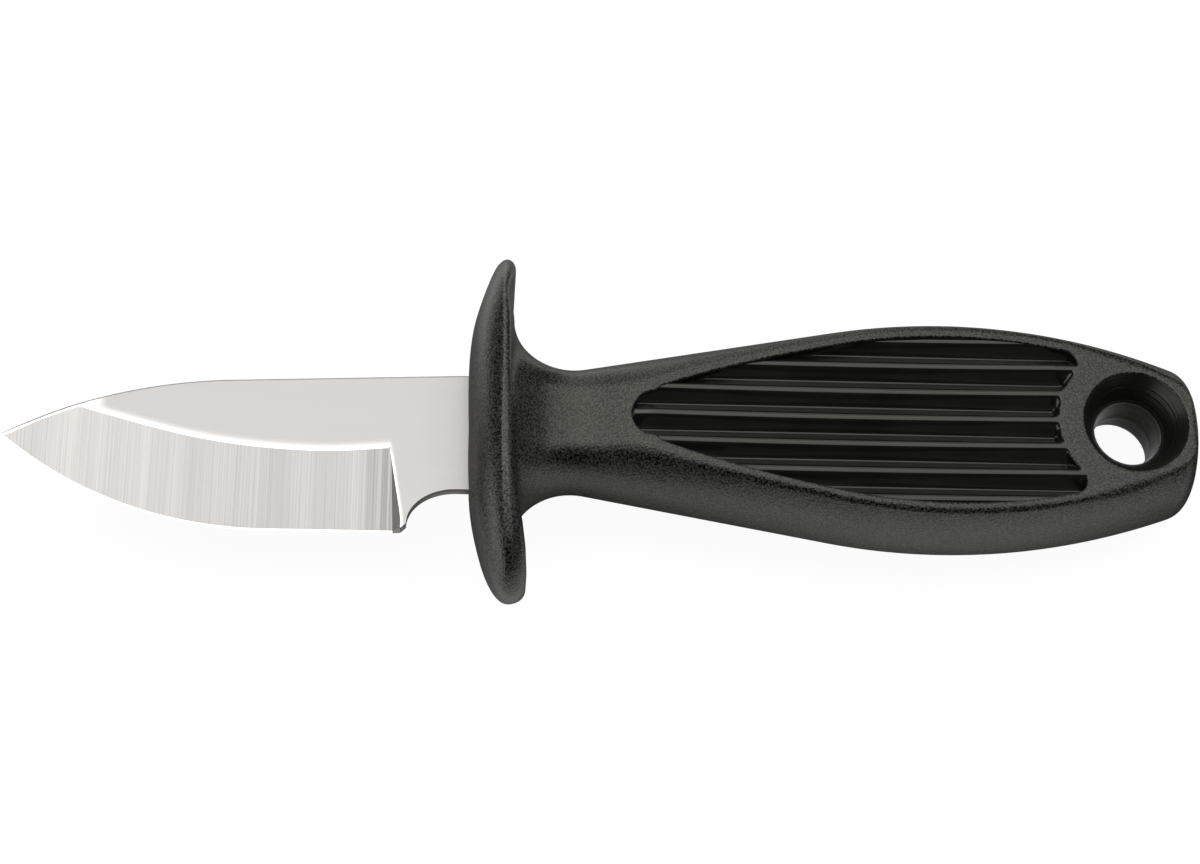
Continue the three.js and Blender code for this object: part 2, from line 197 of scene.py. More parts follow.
def plunge_profile(step):
    """Sections round the end of the grind: its last cut (0), the top of the plunge (1), the flat (2)."""
    points = []
    line = grind_line_at(PLUNGE_TOP)
    foot = plunge_at(1.0)
    stretch = (heel_at(foot) - line) / (edge_at(GRIND_END) - line)
    section = blade_profile(PLUNGE_TOP, True, edge_at(GRIND_END), spine_at(PLUNGE_TOP))
    for i, (x, y, half, roll) in enumerate(section):
        depth = (line - y) / (line + EDGE_DEPTH)
        top = plunge_at(depth)
        x = min(last_cut_at(depth), top)
        if step and i >= GRIND_POINT:
            y = line + (y - line) * stretch
            roll = 1.0
            half = 0.0 if half == 0.0 else BLADE_HALF - (CUT_ROUND if i > WHET_POINT else 0.0)
        if step:
            x = top + PLUNGE_EDGE
        if step == 2:
            x = top + ROLL_ASIDE
            roll = 0.0
            half = half if i >= GRIND_POINT or i < SPINE_POINTS else BLADE_HALF
            if i >= WHET_POINT:
                y = heel_at(foot + ROLL_ASIDE) + (SPINE_ROUND if i == WHET_POINT else 0.0)
        points.append((x, y, half, roll))
    return points


GROUND_ROWS = 72
GROUND_CROWDING = 1.25
PLUNGE_GAP = 0.2
HEEL_ROWS = 4
NOTCH_ROWS = 24
blade_rows = []
row_marks = []


def add_row(x, mark, lower, upper):
    blade_rows.append(blade_profile(x, mark == "ground", lower, upper))
    row_marks.append(mark)


for i in range(GROUND_ROWS + 1):
    x = -BLADE_LENGTH + (BLADE_LENGTH + PLUNGE_TOP - PLUNGE_GAP) * (i / GROUND_ROWS) ** GROUND_CROWDING
    add_row(x, "ground", edge_at(x), spine_at(x))
blade_rows += [plunge_profile(0), plunge_profile(1), plunge_profile(2)]
row_marks += ["ground", "plunge", "flat"]
for i in range(1, HEEL_ROWS + 1):
    x = mix(plunge_at(1.0) + ROLL_ASIDE, HEEL_END, i / HEEL_ROWS)
    add_row(x, "flat", heel_at(x), spine_at(x))
for i in range(1, NOTCH_ROWS + 1):
    angle = i / NOTCH_ROWS * math.pi / 2
    x = HEEL_END + NOTCH_LENGTH * (1 - math.cos(angle))
    add_row(x, "flat", -EDGE_DEPTH + HEEL_RISE + NOTCH_HEIGHT * math.sin(angle), spine_at(x))
add_row(SHOULDER_DEPTH, "flat", RICASSO_LOWER, SPINE_HEIGHT)
for x, half_height in zip((SHOULDER_DEPTH + SHOULDER_STEP, TANG_LENGTH), TANG_HALF_HEIGHTS):
    add_row(x, "flat", -half_height, half_height)

blade_mesh = bmesh.new()
ground_layer = blade_mesh.faces.layers.float.new("ground")
cut_and_plunge_layer = blade_mesh.faces.layers.float.new("cut_and_plunge")
whetted_layer = blade_mesh.faces.layers.float.new("whetted")
roll_layer = blade_mesh.verts.layers.float.new("roll")


def blade_vert(x, y, half, roll):
    vert = blade_mesh.verts.new(place(x, y, half))
    vert[roll_layer] = roll
    return vert


rings = []
for row in blade_rows:
    front = [blade_vert(*point) for point in row]
    back = [blade_vert(x, y, -half, roll) for x, y, half, roll in row[1:-1]]
    rings.append(front + back[::-1])
count = len(rings[0])
last_front = len(blade_rows[0]) - 1
for i in range(len(rings) - 1):
    for j in range(count):
        k = (j + 1) % count
        face = blade_mesh.faces.new((rings[i][j], rings[i][k], rings[i + 1][k], rings[i + 1][j]))
        side = j if j < last_front else count - 1 - j
        face.smooth = True
        is_ground = row_marks[i + 1] == "ground"
        # The plunge's faces, which face away from the lamps, are marked to be painted darker as painted
        # shade; the cut edges of the outline get the same darker grey.
        is_plunge = row_marks[i + 1] == "plunge" and side >= GRIND_POINT
        is_cut = side < SPINE_POINTS or (side >= last_front - 2 and not is_ground)
        face[ground_layer] = float(is_ground and GRIND_POINT <= side < last_front - 1)
        face[whetted_layer] = float(is_ground and side == last_front - 2)
        face[cut_and_plunge_layer] = float(is_cut or is_plunge)
for ring in (rings[0], rings[-1]):
    blade_mesh.faces.new(ring)
bmesh.ops.recalc_face_normals(blade_mesh, faces=blade_mesh.faces)
for i, ring in enumerate(rings[:-1]):
    for mark in (GRIND_POINT, WHET_POINT, WHET_POINT + 1):
        for j in (mark, count - mark):
            edge = blade_mesh.edges.get((ring[j], rings[i + 1][j]))
            if edge and (row_marks[i] == "ground" or mark > GRIND_POINT):
                edge.smooth = False
for i, mark in enumerate(row_marks[:-1]):
    if mark == "plunge" or row_marks[i + 1] == "plunge":
        for j in range(count):
            side = j if j <= last_front else count - j
            edge = blade_mesh.edges.get((rings[i][j], rings[i][(j + 1) % count]))
            if edge and side >= GRIND_POINT:
                edge.smooth = False


def new_object(name, data):
    made = bpy.data.objects.new(name, data)
    bpy.context.scene.collection.objects.link(made)
    return made


def finish_mesh(name, built):
    """Turns a built mesh into an object at the origin."""
    data = bpy.data.meshes.new(name)
    built.to_mesh(data)
    built.free()
    return new_object(name, data)


blade = finish_mesh("steel_blade", blade_mesh)


def grey(level, tint=(1.0, 1.0, 1.0)):
    return tuple(level * t for t in tint) + (1.0,)


class Nodes:
    """A node tree, with short ways to add nodes to it that give back what the new node puts out."""

    def __init__(self, tree):
        self.tree = tree

    def plug(self, node, sockets):
        """Sets or links a node's inputs by name or number."""
        for name, value in sockets.items():
            if isinstance(value, bpy.types.NodeSocket):
                self.tree.links.new(value, node.inputs[name])
            else:
                node.inputs[name].default_value = value

    def add(self, kind, sockets=None, **settings):
        made = self.tree.nodes.new(kind)
        for name, value in settings.items():
            setattr(made, name, value)
        self.plug(made, sockets or {})
        return made.outputs

    def math(self, operation, *values, clamp=False):
        return self.add("ShaderNodeMath", dict(enumerate(values)), operation=operation, use_clamp=clamp)[0]

    def chain(self, operation, *values):
        """Joins any number of values by one operation, from left to right."""
        total = values[0]
        for value in values[1:]:
            total = self.math(operation, total, value)
        return total

    def ramp(self, value, low, high, to_low=0.0, to_high=1.0, kind="SMOOTHSTEP"):
        levels = {"Value": value, "From Min": low, "From Max": high, "To Min": to_low, "To Max": to_high}
        return self.add("ShaderNodeMapRange", levels, interpolation_type=kind)[0]

    def mix(self, share, a, b):
        return self.add("ShaderNodeMix", {0: share, 2: a, 3: b}, data_type="FLOAT")[0]

    def blend(self, share, a, b, clamp=True):
        colours = {0: share, 6: a, 7: b}
        return self.add("ShaderNodeMix", colours, data_type="RGBA", clamp_factor=clamp)[2]

    def toned(self, level, colour):
        """A colour times a level, which may pass 1."""
        return self.blend(level, grey(0.0), colour, clamp=False)

    def scaled(self, vector, factors):
        return self.add("ShaderNodeVectorMath", {0: vector, 1: factors}, operation="MULTIPLY")[0]

    def split(self, vector):
        return self.add("ShaderNodeSeparateXYZ", {0: vector})

    def attribute(self, name):
        return self.add("ShaderNodeAttribute", attribute_name=name)["Fac"]

    def spot(self):
        return self.add("ShaderNodeTexCoord")["Object"]


def noise_group(name, noises):
    """Noises in stretched object space: each has an output of its name, a scale, detail and roughness."""
    group = bpy.data.node_groups.new(name, "ShaderNodeTree")
    new_socket = group.interface.new_socket
    stretch = new_socket(name="Stretch", in_out="INPUT", socket_type="NodeSocketVector")
    stretch.default_value = (1.0, 1.0, 1.0)
    for label, scale, *_ in noises:
        new_socket(name=label, in_out="OUTPUT", socket_type="NodeSocketFloat")
        new_socket(name=label + " Scale", in_out="INPUT", socket_type="NodeSocketFloat").default_value = scale
    nodes = Nodes(group)
    given = nodes.add("NodeGroupInput")
    result = group.nodes.new("NodeGroupOutput")
    stretched = nodes.scaled(nodes.spot(), given["Stretch"])
    for label, _, detail, fall in noises:
        look = {"Vector": stretched, "Scale": given[label + " Scale"], "Detail": detail, "Roughness": fall}
        nodes.plug(result, {label: nodes.add("ShaderNodeTexNoise", look)[0]})
    return group


# Lines that an abrasive belt leaves: fine scratches inside broad bands, all in one direction.
belt_lines = noise_group("belt_lines", (("Fine", 1.0, 3.0, 0.6), ("Band", 0.07, 2.0, 0.6)))


def principled(name):
    """A new material, its nodes and its shader."""
    material = bpy.data.materials.new(name)
    material.use_nodes = True
    return material, Nodes(material.node_tree), material.node_tree.nodes["Principled BSDF"]


def along_blade(stations):
    return [place(station, 0, 0)[0] for station in stations]


STEEL_TINT = (1.0, 0.97, 0.94)
GROUND_GREY = 0.46
SHINY_HIGHLIGHT_GREY = 0.72
CUT_AND_PLUNGE_GREY = 0.36
SHINY_ROUGHNESS = 0.16
SHEARED_ROUGHNESS = 0.55
SCRATCH_DEPTH = 0.00001
LAST_PASS = (-13.2, -12.7)
TIP_LIGHT_FADE = (-58.0, -24.0)
steel_material, steel, steel_shader = principled("ground_stainless_steel")
along, across, stripes = (
    steel.add("ShaderNodeGroup", {"Stretch": stretch}, node_tree=belt_lines)
    for stretch in ((40.0, 2200.0, 2200.0), (4200.0, 16.0, 16.0), (900.0, 5.0, 5.0))
)
ground_mask = steel.attribute("ground")
# Painted shade on the plunge, and a darker grey on the cut edges.
cut_and_plunge_mask = steel.attribute("cut_and_plunge")
off_grind = steel.math("SUBTRACT", 1.0, ground_mask)
roll_mask = steel.math("MULTIPLY", steel.attribute("roll"), off_grind)
# Painted highlight: the roll band above the grind line and the whetted strip are painted a lighter steel,
# besides being really less rough.
polish_and_highlight = steel.math("MAXIMUM", steel.math("POWER", roll_mask, 2.0), steel.attribute("whetted"))
steel_station = steel.split(steel.spot())[0]
last_pass = steel.ramp(steel_station, *along_blade(LAST_PASS))
stripe_tone = steel.ramp(stripes["Fine"], 0.36, 0.6, 0.62, 1.0)
band_tone = steel.ramp(across["Band"], 0.32, 0.68, 0.94, 1.05)
fine_tone = steel.ramp(across["Fine"], 0.34, 0.66, 0.8, 1.16, "LINEAR")
# Painted light: the bevel is painted lighter towards the tip.
tip_painted_light = steel.ramp(steel_station, *along_blade(TIP_LIGHT_FADE), 1.18, 1.0)
pass_tone = steel.mix(last_pass, 1.0, stripe_tone)
bevel_tone = steel.chain("MULTIPLY", band_tone, fine_tone, tip_painted_light, pass_tone)
flat_tone = steel.ramp(along["Fine"], 0.2, 0.8, 0.99, 1.01, "LINEAR")
tone = steel.mix(ground_mask, flat_tone, bevel_tone)
steel_colour = steel.toned(tone, grey(GROUND_GREY, STEEL_TINT))
polish_highlight_colour = steel.blend(polish_and_highlight, steel_colour, grey(SHINY_HIGHLIGHT_GREY, STEEL_TINT))
rough_bevel = steel.ramp(across["Fine"], 0.3, 0.7, 0.42, 0.52, "LINEAR")
rough_flat = steel.ramp(along["Fine"], 0.3, 0.7, 0.46, 0.48, "LINEAR")
rough_steel = steel.mix(ground_mask, rough_flat, rough_bevel)
rough_shiny = steel.mix(polish_and_highlight, rough_steel, SHINY_ROUGHNESS)
scratch = steel.mix(ground_mask, 0.5, across["Fine"])
scratches = {"Strength": 0.2, "Distance": SCRATCH_DEPTH, "Height": scratch}
steel.plug(steel_shader, {
    "Base Color": steel.blend(cut_and_plunge_mask, polish_highlight_colour, grey(CUT_AND_PLUNGE_GREY, STEEL_TINT)),
    "Roughness": steel.mix(cut_and_plunge_mask, rough_shiny, SHEARED_ROUGHNESS),
    "Metallic": 1.0,
    "Normal": steel.add("ShaderNodeBump", scratches)[0],
})
blade.data.materials.append(steel_material)
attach(blade, "root")
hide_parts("blade")


# Handle: one injection moulding in black plastic, shot round the tang. Guard, neck, grip and butt are
# one skin from a spark-textured mould; the walls of the panels and of the hang hole come from polished
# inserts of the same mould. The grip is a round spindle with a flat on each side.
GUARD_HALF_HEIGHT = 23.75
GUARD_HALF_WIDTH = 12.8
GUARD_DOME_DEPTH = 3.4
GUARD_THICKNESS = 4.2
GUARD_BLUNT = 4.6
GUARD_BLUNT_FADE = 1.4
GUARD_EDGE = math.radians(28)
GUARD_EDGE_FADE = 2.5
GUARD_BEAD_HEIGHTS = (-23.5, -22, -20.6, -18, -15, -13, -10, 0, 8, 12, 14, 16, 18, 20, 22, 23.5)
GUARD_BEADS = (0.2, 0.42, 0.71, 0.9, 0.82, 0.58, 0.46, 0.62, 0.43, 0.3, 0.04, -0.3, -0.18, 0.2, 0.08, 0.0)
GUARD_BEAD_SWEEP = 0.9
FRONT_SHIFT = 0.02
FRONT_LOW_STEP = (0.3, 9, 8)
FRONT_HIGH_STEP = (0.6, 12, 9)
FRONT_DIP = (0.24, 9, 6)
RIM_STEPS = ((0.45, 12, 10), (0.47, 4, 12))
SEAT_LIFT_STEP = (0.5, 2, 8)
SEAT_HIGH_STEP = (0.25, 12, 4)
SEAT_LOW_STEP = (0.2, 8, 4)
GUARD_FRONT_RIDGE = 1.5
GUARD_FRONT_RADIUS = 132.0
GUARD_BACK_RADIUS = 105.0
GUARD_BACK_LEAN = 0.036
GUARD_BACK_CROWN = 1.0
GUARD_RIM_HIGH = 1.9
GUARD_RIM_WIDE = 1.2
NECK_AT = 13.5
NECK_RADIUS = 8.04
NECK_EASE = 0.14
NECK_FILLET_HEIGHT = 7.0
NECK_FILLET_WIDTH = 3.4
FILLET_FOOT = math.radians(8)
FLATNESS_ANGLES = (20, 75)
NECK_SPREAD = 86
BELLY_RADIUS = 15.1
BELLY_AT = HANDLE_LENGTH - 33.3
BELLY_ARC = 89.0
BUTT_BOW = 24.0
BUTT_CORNER = 1.5
FLAT_HALF = 8.1
FLAT_DROP = 1.5
FLAT_DROP_RUN = 10.5
FLAT_END = 93.5
FLAT_END_ROUND = 0.75
ARRIS_STATIONS = (13.5, 17.5, 21, 24, 27.5, 35, 43, 50, 78, 81, 84, 86, 88, 91, 94)
ARRIS_ROUNDS = (3.8, 4.6, 4.4, 3.6, 2.4, 1.6, 1.25, 1.15, 1.15, 1.5, 2.2, 2.2, 1.65, 1.6, 2.0)
HOLE_AT = HANDLE_LENGTH - 9.4
HOLE_MOUTH = 6.85
HOLE_THROAT = 4.4
HOLE_THROAT_DEPTH = 4.4
HOLE_BEND = (0.1, 0.64)
HOLE_LIP = ((0.3, 0.0), (0.14, 0.0), (0.05, 0.04), (-0.03, 0.13))
HOLE_WAIST = 3.85
BOSS_RADIUS = HOLE_MOUTH + 3.35
PANEL_NOSE_AT = 20.95
PANEL_NOSE_RADIUS = 3.0
PANEL_LAND = 1.29
PANEL_LOW = 0.14
PANEL_NOSE_LAND = 2.4
PANEL_LAND_RUN = 24.0
PANEL_CORNER = 1.9
PANEL_LIP = 0.3
POCKET_FLOOR = 5.4
SIDE = 26
HOLD = 0.06
DOME_ROWS = 22
RIM_ROWS = 10
BACK_ROWS = 10
FILLET_ROWS = 24
NOSE_ROWS = 18
GRIP_ROWS = 60
CORNER_ROWS = 14
END_ROWS = (12, 6)
END_CROWDED = 7.2
FILL_FROM = 20.0
NOSE_CROWDED = 21.0
NOSE_CROWDING = 1.3


def guard_rim_at(y):
    return GUARD_DOME_DEPTH + circle_sag(GUARD_FRONT_RADIUS, y)


def guard_back_at(y):
    return GUARD_THICKNESS + circle_sag(GUARD_BACK_RADIUS, y) - GUARD_BACK_LEAN * y


def step_at(y, size, start, run):
    return size * smooth((y - start) / run)


def guard_front_shift(y):
    """How far the guard's front lies back, which changes from tip to tip."""
    size, centre, width = FRONT_DIP
    dip = size * math.exp(-(((y - centre) / width) ** 2))
    return FRONT_SHIFT + step_at(-y, *FRONT_LOW_STEP) + step_at(y, *FRONT_HIGH_STEP) - dip


def bead_sweep(z):
    return GUARD_BEAD_SWEEP * (z / GUARD_HALF_WIDTH) ** 2


def rim_station(y, z):
    high_step, middle_step = RIM_STEPS
    return guard_rim_at(y) + bead_sweep(z) - step_at(y, *high_step) - step_at(y, *middle_step)


def bead_station(y, z):
    return guard_back_at(y) + float(np.interp(y, GUARD_BEAD_HEIGHTS, GUARD_BEADS)) + bead_sweep(z)


def seat_station(y):
    """Where the back of the guard runs into the fillet of the neck."""
    crown = GUARD_BACK_CROWN * (1 - (y / GUARD_HALF_HEIGHT) ** 2)
    lift = step_at(y, *SEAT_LIFT_STEP) - step_at(y, *SEAT_HIGH_STEP) - step_at(-y, *SEAT_LOW_STEP)
    return guard_back_at(y) + crown + lift


cone_reach = math.hypot(BELLY_AT - NECK_AT, BELLY_RADIUS - BELLY_ARC - NECK_RADIUS)
cone_lean = math.atan2(BELLY_RADIUS - BELLY_ARC - NECK_RADIUS, BELLY_AT - NECK_AT)
CONE_ANGLE = cone_lean + math.asin(BELLY_ARC / cone_reach)
CONE_END = BELLY_AT - BELLY_ARC * math.sin(CONE_ANGLE)
NECK_EASE_RUN = 2 * NECK_EASE / math.tan(CONE_ANGLE)


def spindle_radius(u):
    if u > CONE_END:
        return BELLY_RADIUS - circle_sag(BELLY_ARC, u - BELLY_AT)
    ease = max(0.0, 1 - (u - NECK_AT) / NECK_EASE_RUN)
    return NECK_RADIUS + math.tan(CONE_ANGLE) * (u - NECK_AT) + NECK_EASE * ease * ease


def butt_end_at(radius):
    return HANDLE_LENGTH - circle_sag(BUTT_BOW, radius)


def bisect(low, high, is_below):
    for _ in range(50):
        middle = (low + high) / 2
        if is_below(middle):
            low = middle
        else:
            high = middle
    return (low + high) / 2


def flat_at(u):
    """Height of the flat, which bends down into the neck and rounds over at the butt."""
    into_round = min(FLAT_END_ROUND, max(0.0, u - FLAT_END))
    neck_drop = FLAT_DROP * (1 - smooth((u - NECK_AT) / FLAT_DROP_RUN))
    return FLAT_HALF - neck_drop - circle_sag(FLAT_END_ROUND, into_round)


def on_circle(a, b, radius, angle):
    return a + radius * math.cos(angle), b + radius * math.sin(angle)


def oval_ring(high, wide, station, rise):
    ring = []
    for j in range(2 * SIDE + 1):
        angle = j / (2 * SIDE) * math.pi
        y, z = rise + high * math.cos(angle), wide * math.sin(angle)
        ring.append((station(y, z), y, z))
    return ring[: SIDE + 1], ring[SIDE:]


def spindle_ring(u, radius):
    """Half a section of the grip: a round side, its rounded arris, and the edge of the flat."""
    flat = flat_at(u)
    if radius <= flat + 1e-6:
        return oval_ring(radius, radius, lambda y, z: u, 0.0)
    bend = float(np.interp(u, ARRIS_STATIONS, ARRIS_ROUNDS))
    core, centre_z = radius - bend, flat - bend
    turn = math.asin(centre_z / core)
    centre_y = core * math.cos(turn)
    upper = []
    for j in range(SIDE + 1):
        angle = j / SIDE * math.pi / 2
        if angle < turn:
            upper.append((u, *on_circle(0.0, 0.0, radius, angle)))
        else:
            upper.append((u, *on_circle(centre_y, centre_z, bend, angle)))
    upper.append((u, centre_y - min(HOLD, centre_y / 3), flat))
    return upper, [(x, -y, z) for x, y, z in reversed(upper)]


skin_rings = []
for i in range(1, DOME_ROWS + 1):
    dome = []
    for j in range(2 * SIDE + 1):
        turn = j / (2 * SIDE) * math.pi
        last = math.pi / 2 - GUARD_EDGE * math.sin(turn) ** GUARD_EDGE_FADE
        angle = i / DOME_ROWS * last
        rise = (1 - math.cos(angle)) / (1 - math.cos(last))
        blunt = 2 + GUARD_BLUNT * math.sin(turn) ** GUARD_BLUNT_FADE
        reach = (math.sin(angle) / math.sin(last)) ** (2 / blunt)
        rim_y, rim_z = GUARD_RISE + GUARD_HALF_HEIGHT * math.cos(turn), GUARD_HALF_WIDTH * math.sin(turn)
        ridge = GUARD_FRONT_RIDGE * (reach * math.sin(turn)) ** 2 + guard_front_shift(reach * rim_y)
        x = mix(ridge, rim_station(rim_y, rim_z), rise)
        dome.append((x, reach * rim_y, reach * rim_z))
    skin_rings.append((dome[: SIDE + 1], dome[SIDE:]))
for i in range(1, RIM_ROWS + 1):
    angle = i / RIM_ROWS * math.pi / 2
    inset = 1 - math.cos(angle)
    skin_rings.append(oval_ring(
        GUARD_HALF_HEIGHT - GUARD_RIM_HIGH * inset,
        GUARD_HALF_WIDTH - GUARD_RIM_WIDE * inset,
        lambda y, z: mix(rim_station(y, z), bead_station(y, z), math.sin(angle)),
        GUARD_RISE,
    ))
neck_base = NECK_RADIUS + NECK_EASE
foot_high = neck_base + NECK_FILLET_HEIGHT * (1 - math.sin(FILLET_FOOT))
foot_wide = neck_base + NECK_FILLET_WIDTH * (1 - math.sin(FILLET_FOOT))
for i in range(1, BACK_ROWS):
    share = i / BACK_ROWS
    skin_rings.append(oval_ring(
        mix(GUARD_HALF_HEIGHT - GUARD_RIM_HIGH, foot_high, share),
        mix(GUARD_HALF_WIDTH - GUARD_RIM_WIDE, foot_wide, share),
        lambda y, z: mix(bead_station(y, z), seat_station(y), smooth(share / 0.8)),
        GUARD_RISE * (1 - share),
    ))
neck_upper = spindle_ring(NECK_AT, neck_base)[0]
neck_flat = flat_at(NECK_AT)
for i in range(FILLET_ROWS + 1):
    angle = mix(FILLET_FOOT, math.pi / 2, i / FILLET_ROWS)
    flare = 1 - math.sin(angle)
    flatness = smooth((math.degrees(angle) - FLATNESS_ANGLES[0]) / (FLATNESS_ANGLES[1] - FLATNESS_ANGLES[0]))
    high = neck_base + NECK_FILLET_HEIGHT * flare
    wide = neck_base + NECK_FILLET_WIDTH * flare
    flat_wide = mix(neck_flat, neck_base + NECK_FILLET_WIDTH, flare)
    sides = []
    for sign in (1, -1):
        side = []
        for j, (_, neck_y, neck_z) in enumerate(neck_upper):
            turn = math.radians(NECK_SPREAD * j / SIDE if j <= SIDE else NECK_SPREAD + 1)
            y = mix(high * math.cos(turn), neck_y * high / neck_base, flatness) * sign
            z = mix(wide * math.sin(turn), neck_z * flat_wide / neck_flat, flatness)
            seat = seat_station(y)
            side.append((seat + (NECK_AT - seat) * (1 - math.cos(angle)), y, z))
        sides.append(side)
    skin_rings.append((sides[0], sides[1][::-1]))
rim_radius = bisect(0.0, BELLY_RADIUS, lambda r: spindle_radius(butt_end_at(r)) > r)
rim_at = butt_end_at(rim_radius)
grip_stations = []
for i in range(1, NOSE_ROWS + 1):
    grip_stations.append(mix(NECK_AT, NOSE_CROWDED, (i / NOSE_ROWS) ** NOSE_CROWDING))
for i in range(1, GRIP_ROWS + 1):
    grip_stations.append(mix(NOSE_CROWDED, rim_at - BUTT_CORNER, i / GRIP_ROWS))
for u in grip_stations:
    skin_rings.append(spindle_ring(u, spindle_radius(u)))
corner_ends = [
    (rim_at - BUTT_CORNER, spindle_radius(rim_at - BUTT_CORNER)),
    (rim_at, rim_radius),
    (butt_end_at(rim_radius - BUTT_CORNER), rim_radius - BUTT_CORNER),
]


def bend_point(t, ends):
    """Point on a bend from the first to the third end, which runs towards the second one between them."""
    weights = ((1 - t) ** 2, 2 * t * (1 - t), t * t)
    return tuple(sum(w * p[k] for w, p in zip(weights, ends)) for k in (0, 1))


for i in range(1, CORNER_ROWS + 1):
    skin_rings.append(spindle_ring(*bend_point(i / CORNER_ROWS, corner_ends)))
end_radii = [*np.linspace(rim_radius - BUTT_CORNER, END_CROWDED, END_ROWS[0] + 1)[1:]]
end_radii += [*np.linspace(END_CROWDED, 0.0, END_ROWS[1] + 1)[1:-1]]
for radius in end_radii:
    skin_rings.append(spindle_ring(butt_end_at(radius), radius))

skin_mesh = bmesh.new()
polished_layer = skin_mesh.faces.layers.float.new("polished")
bored_layer = skin_mesh.faces.layers.float.new("bored")
ridge_highlight_layer = skin_mesh.verts.layers.float.new("ridge_highlight")
# Painted highlight: the rows round the guard's rim, where its ridge catches the lamps, are painted lighter by
# these shares along its height.
RIDGE_HIGHLIGHT_HEIGHTS = (-19.5, -16, -9, -5, 3, 9, 19, 23)
RIDGE_HIGHLIGHTS = (0.0, 1.0, 0.75, 0.3, 0.25, 0.6, 0.6, 0.0)


def skin_face(*corners, polished=0.0, bored=0.0):
    unique = list(dict.fromkeys(corners))
    if len(unique) < 3:
        return
    face = skin_mesh.faces.new(unique)
    face.smooth = True
    face[polished_layer] = polished
    face[bored_layer] = bored


rows = []
for upper, lower in skin_rings:
    up = [skin_mesh.verts.new(place(*p)) for p in upper]
    is_open = len(upper) > SIDE + 1
    down = [skin_mesh.verts.new(place(*p)) for p in (lower if is_open else lower[1:])]
    rows.append((up, down if is_open else [up[-1]] + down, is_open))
for up, down, _ in rows[DOME_ROWS - 1 : DOME_ROWS + 2]:
    for vert in up + down:
        vert[ridge_highlight_layer] = np.interp(vert.co.y / MM, RIDGE_HIGHLIGHT_HEIGHTS, RIDGE_HIGHLIGHTS)


def pick(row, side, index):
    """Point of a row counted from the mid-plane; a closed row repeats its top point."""
    points = row[0] if side == 0 else row[1][::-1]
    return points[min(index, len(points) - 1)]


for a, b in zip(rows, rows[1:]):
    steps = SIDE + 1 if a[2] or b[2] else SIDE
    for side in (0, 1):
        for j in range(steps):
            skin_face(pick(a, side, j), pick(a, side, j + 1), pick(b, side, j + 1), pick(b, side, j))


def bridge_flat(a, b):
    """Closes the flat between the two edges of neighbouring rows."""
    last = SIDE + 1
    skin_face(pick(a, 0, last), pick(a, 1, last), pick(b, 1, last), pick(b, 0, last))


first_grip = len(skin_rings) - len(end_radii) - CORNER_ROWS - len(grip_stations)
fill_row = first_grip + next(i for i, u in enumerate(grip_stations) if u >= FILL_FROM)
for a, b in zip(rows[first_grip - FILLET_ROWS - 2 : fill_row], rows[first_grip - FILLET_ROWS - 1 :]):
    if a[2] or b[2]:
        bridge_flat(a, b)
for pole, row in ((guard_front_shift(0.0), rows[0]), (HANDLE_LENGTH, rows[-1])):
    tip = skin_mesh.verts.new(place(pole, 0, 0))
    around = row[0] + row[1][1:]
    for p, q in zip(around, around[1:]):
        skin_face(tip, p, q)


def panel_flank_at(x):
    flat_edge = math.sqrt(max(0.0, spindle_radius(x) ** 2 - FLAT_HALF ** 2))
    near_nose = max(0.0, 1 - (x - PANEL_NOSE_AT) / PANEL_LAND_RUN)
    return flat_edge - mix(PANEL_LAND, PANEL_NOSE_LAND, near_nose ** 2)


def corner_height(x):
    return panel_flank_at(x) - PANEL_CORNER


corner_x = bisect(
    HOLE_AT - BOSS_RADIUS - PANEL_CORNER,
    HOLE_AT,
    lambda x: math.hypot(HOLE_AT - x, corner_height(x)) > BOSS_RADIUS + PANEL_CORNER,
)
corner_y = corner_height(corner_x)


NOSE_STEPS = 12
FLANK_STEPS = 64
CORNER_STEPS = 16
BOSS_STEPS = 24


def panel_outline():
    """The leaf: round nose, flanks inside the arris, small rear corners and the hollow round the boss."""
    nose_centre = PANEL_NOSE_AT + PANEL_NOSE_RADIUS
    nose_end = bisect(
        PANEL_NOSE_AT,
        nose_centre,
        lambda x: math.sqrt(PANEL_NOSE_RADIUS ** 2 - (x - nose_centre) ** 2) < panel_flank_at(x),
    )
    nose_turn = math.acos((nose_end - nose_centre) / PANEL_NOSE_RADIUS)
    boss_turn = math.atan2(corner_y, corner_x - HOLE_AT)
    upper = []
    for i in range(NOSE_STEPS + 1):
        angle = math.pi - i / NOSE_STEPS * (math.pi - nose_turn)
        upper.append(on_circle(nose_centre, 0.0, PANEL_NOSE_RADIUS, angle))
    for i in range(1, FLANK_STEPS + 1):
        x = mix(nose_end, corner_x, i / FLANK_STEPS)
        upper.append((x, panel_flank_at(x)))
    for i in range(1, CORNER_STEPS + 1):
        angle = math.pi / 2 - i / CORNER_STEPS * (1.5 * math.pi - boss_turn)
        upper.append(on_circle(corner_x, corner_y, PANEL_CORNER, angle))
    for i in range(1, BOSS_STEPS + 1):
        angle = mix(boss_turn, math.pi, i / BOSS_STEPS)
        upper.append(on_circle(HOLE_AT, 0.0, BOSS_RADIUS, angle))
    outline = upper + [(x, -y) for x, y in upper[-2:0:-1]]
    return [(x, y - PANEL_LOW) for x, y in outline]


def offset_loop(points, distance):
    """The outline moved outwards by a distance, square to its own run."""
    p = np.array(points)
    run = np.roll(p, -1, axis=0) - np.roll(p, 1, axis=0)
    run /= np.linalg.norm(run, axis=1, keepdims=True)
    return p + distance * np.stack([-run[:, 1], run[:, 0]], axis=1)


def loop_edges(verts):
    return [
        skin_mesh.edges.get((a, b)) or skin_mesh.edges.new((a, b))
        for a, b in zip(verts, verts[1:] + verts[:1])
    ]


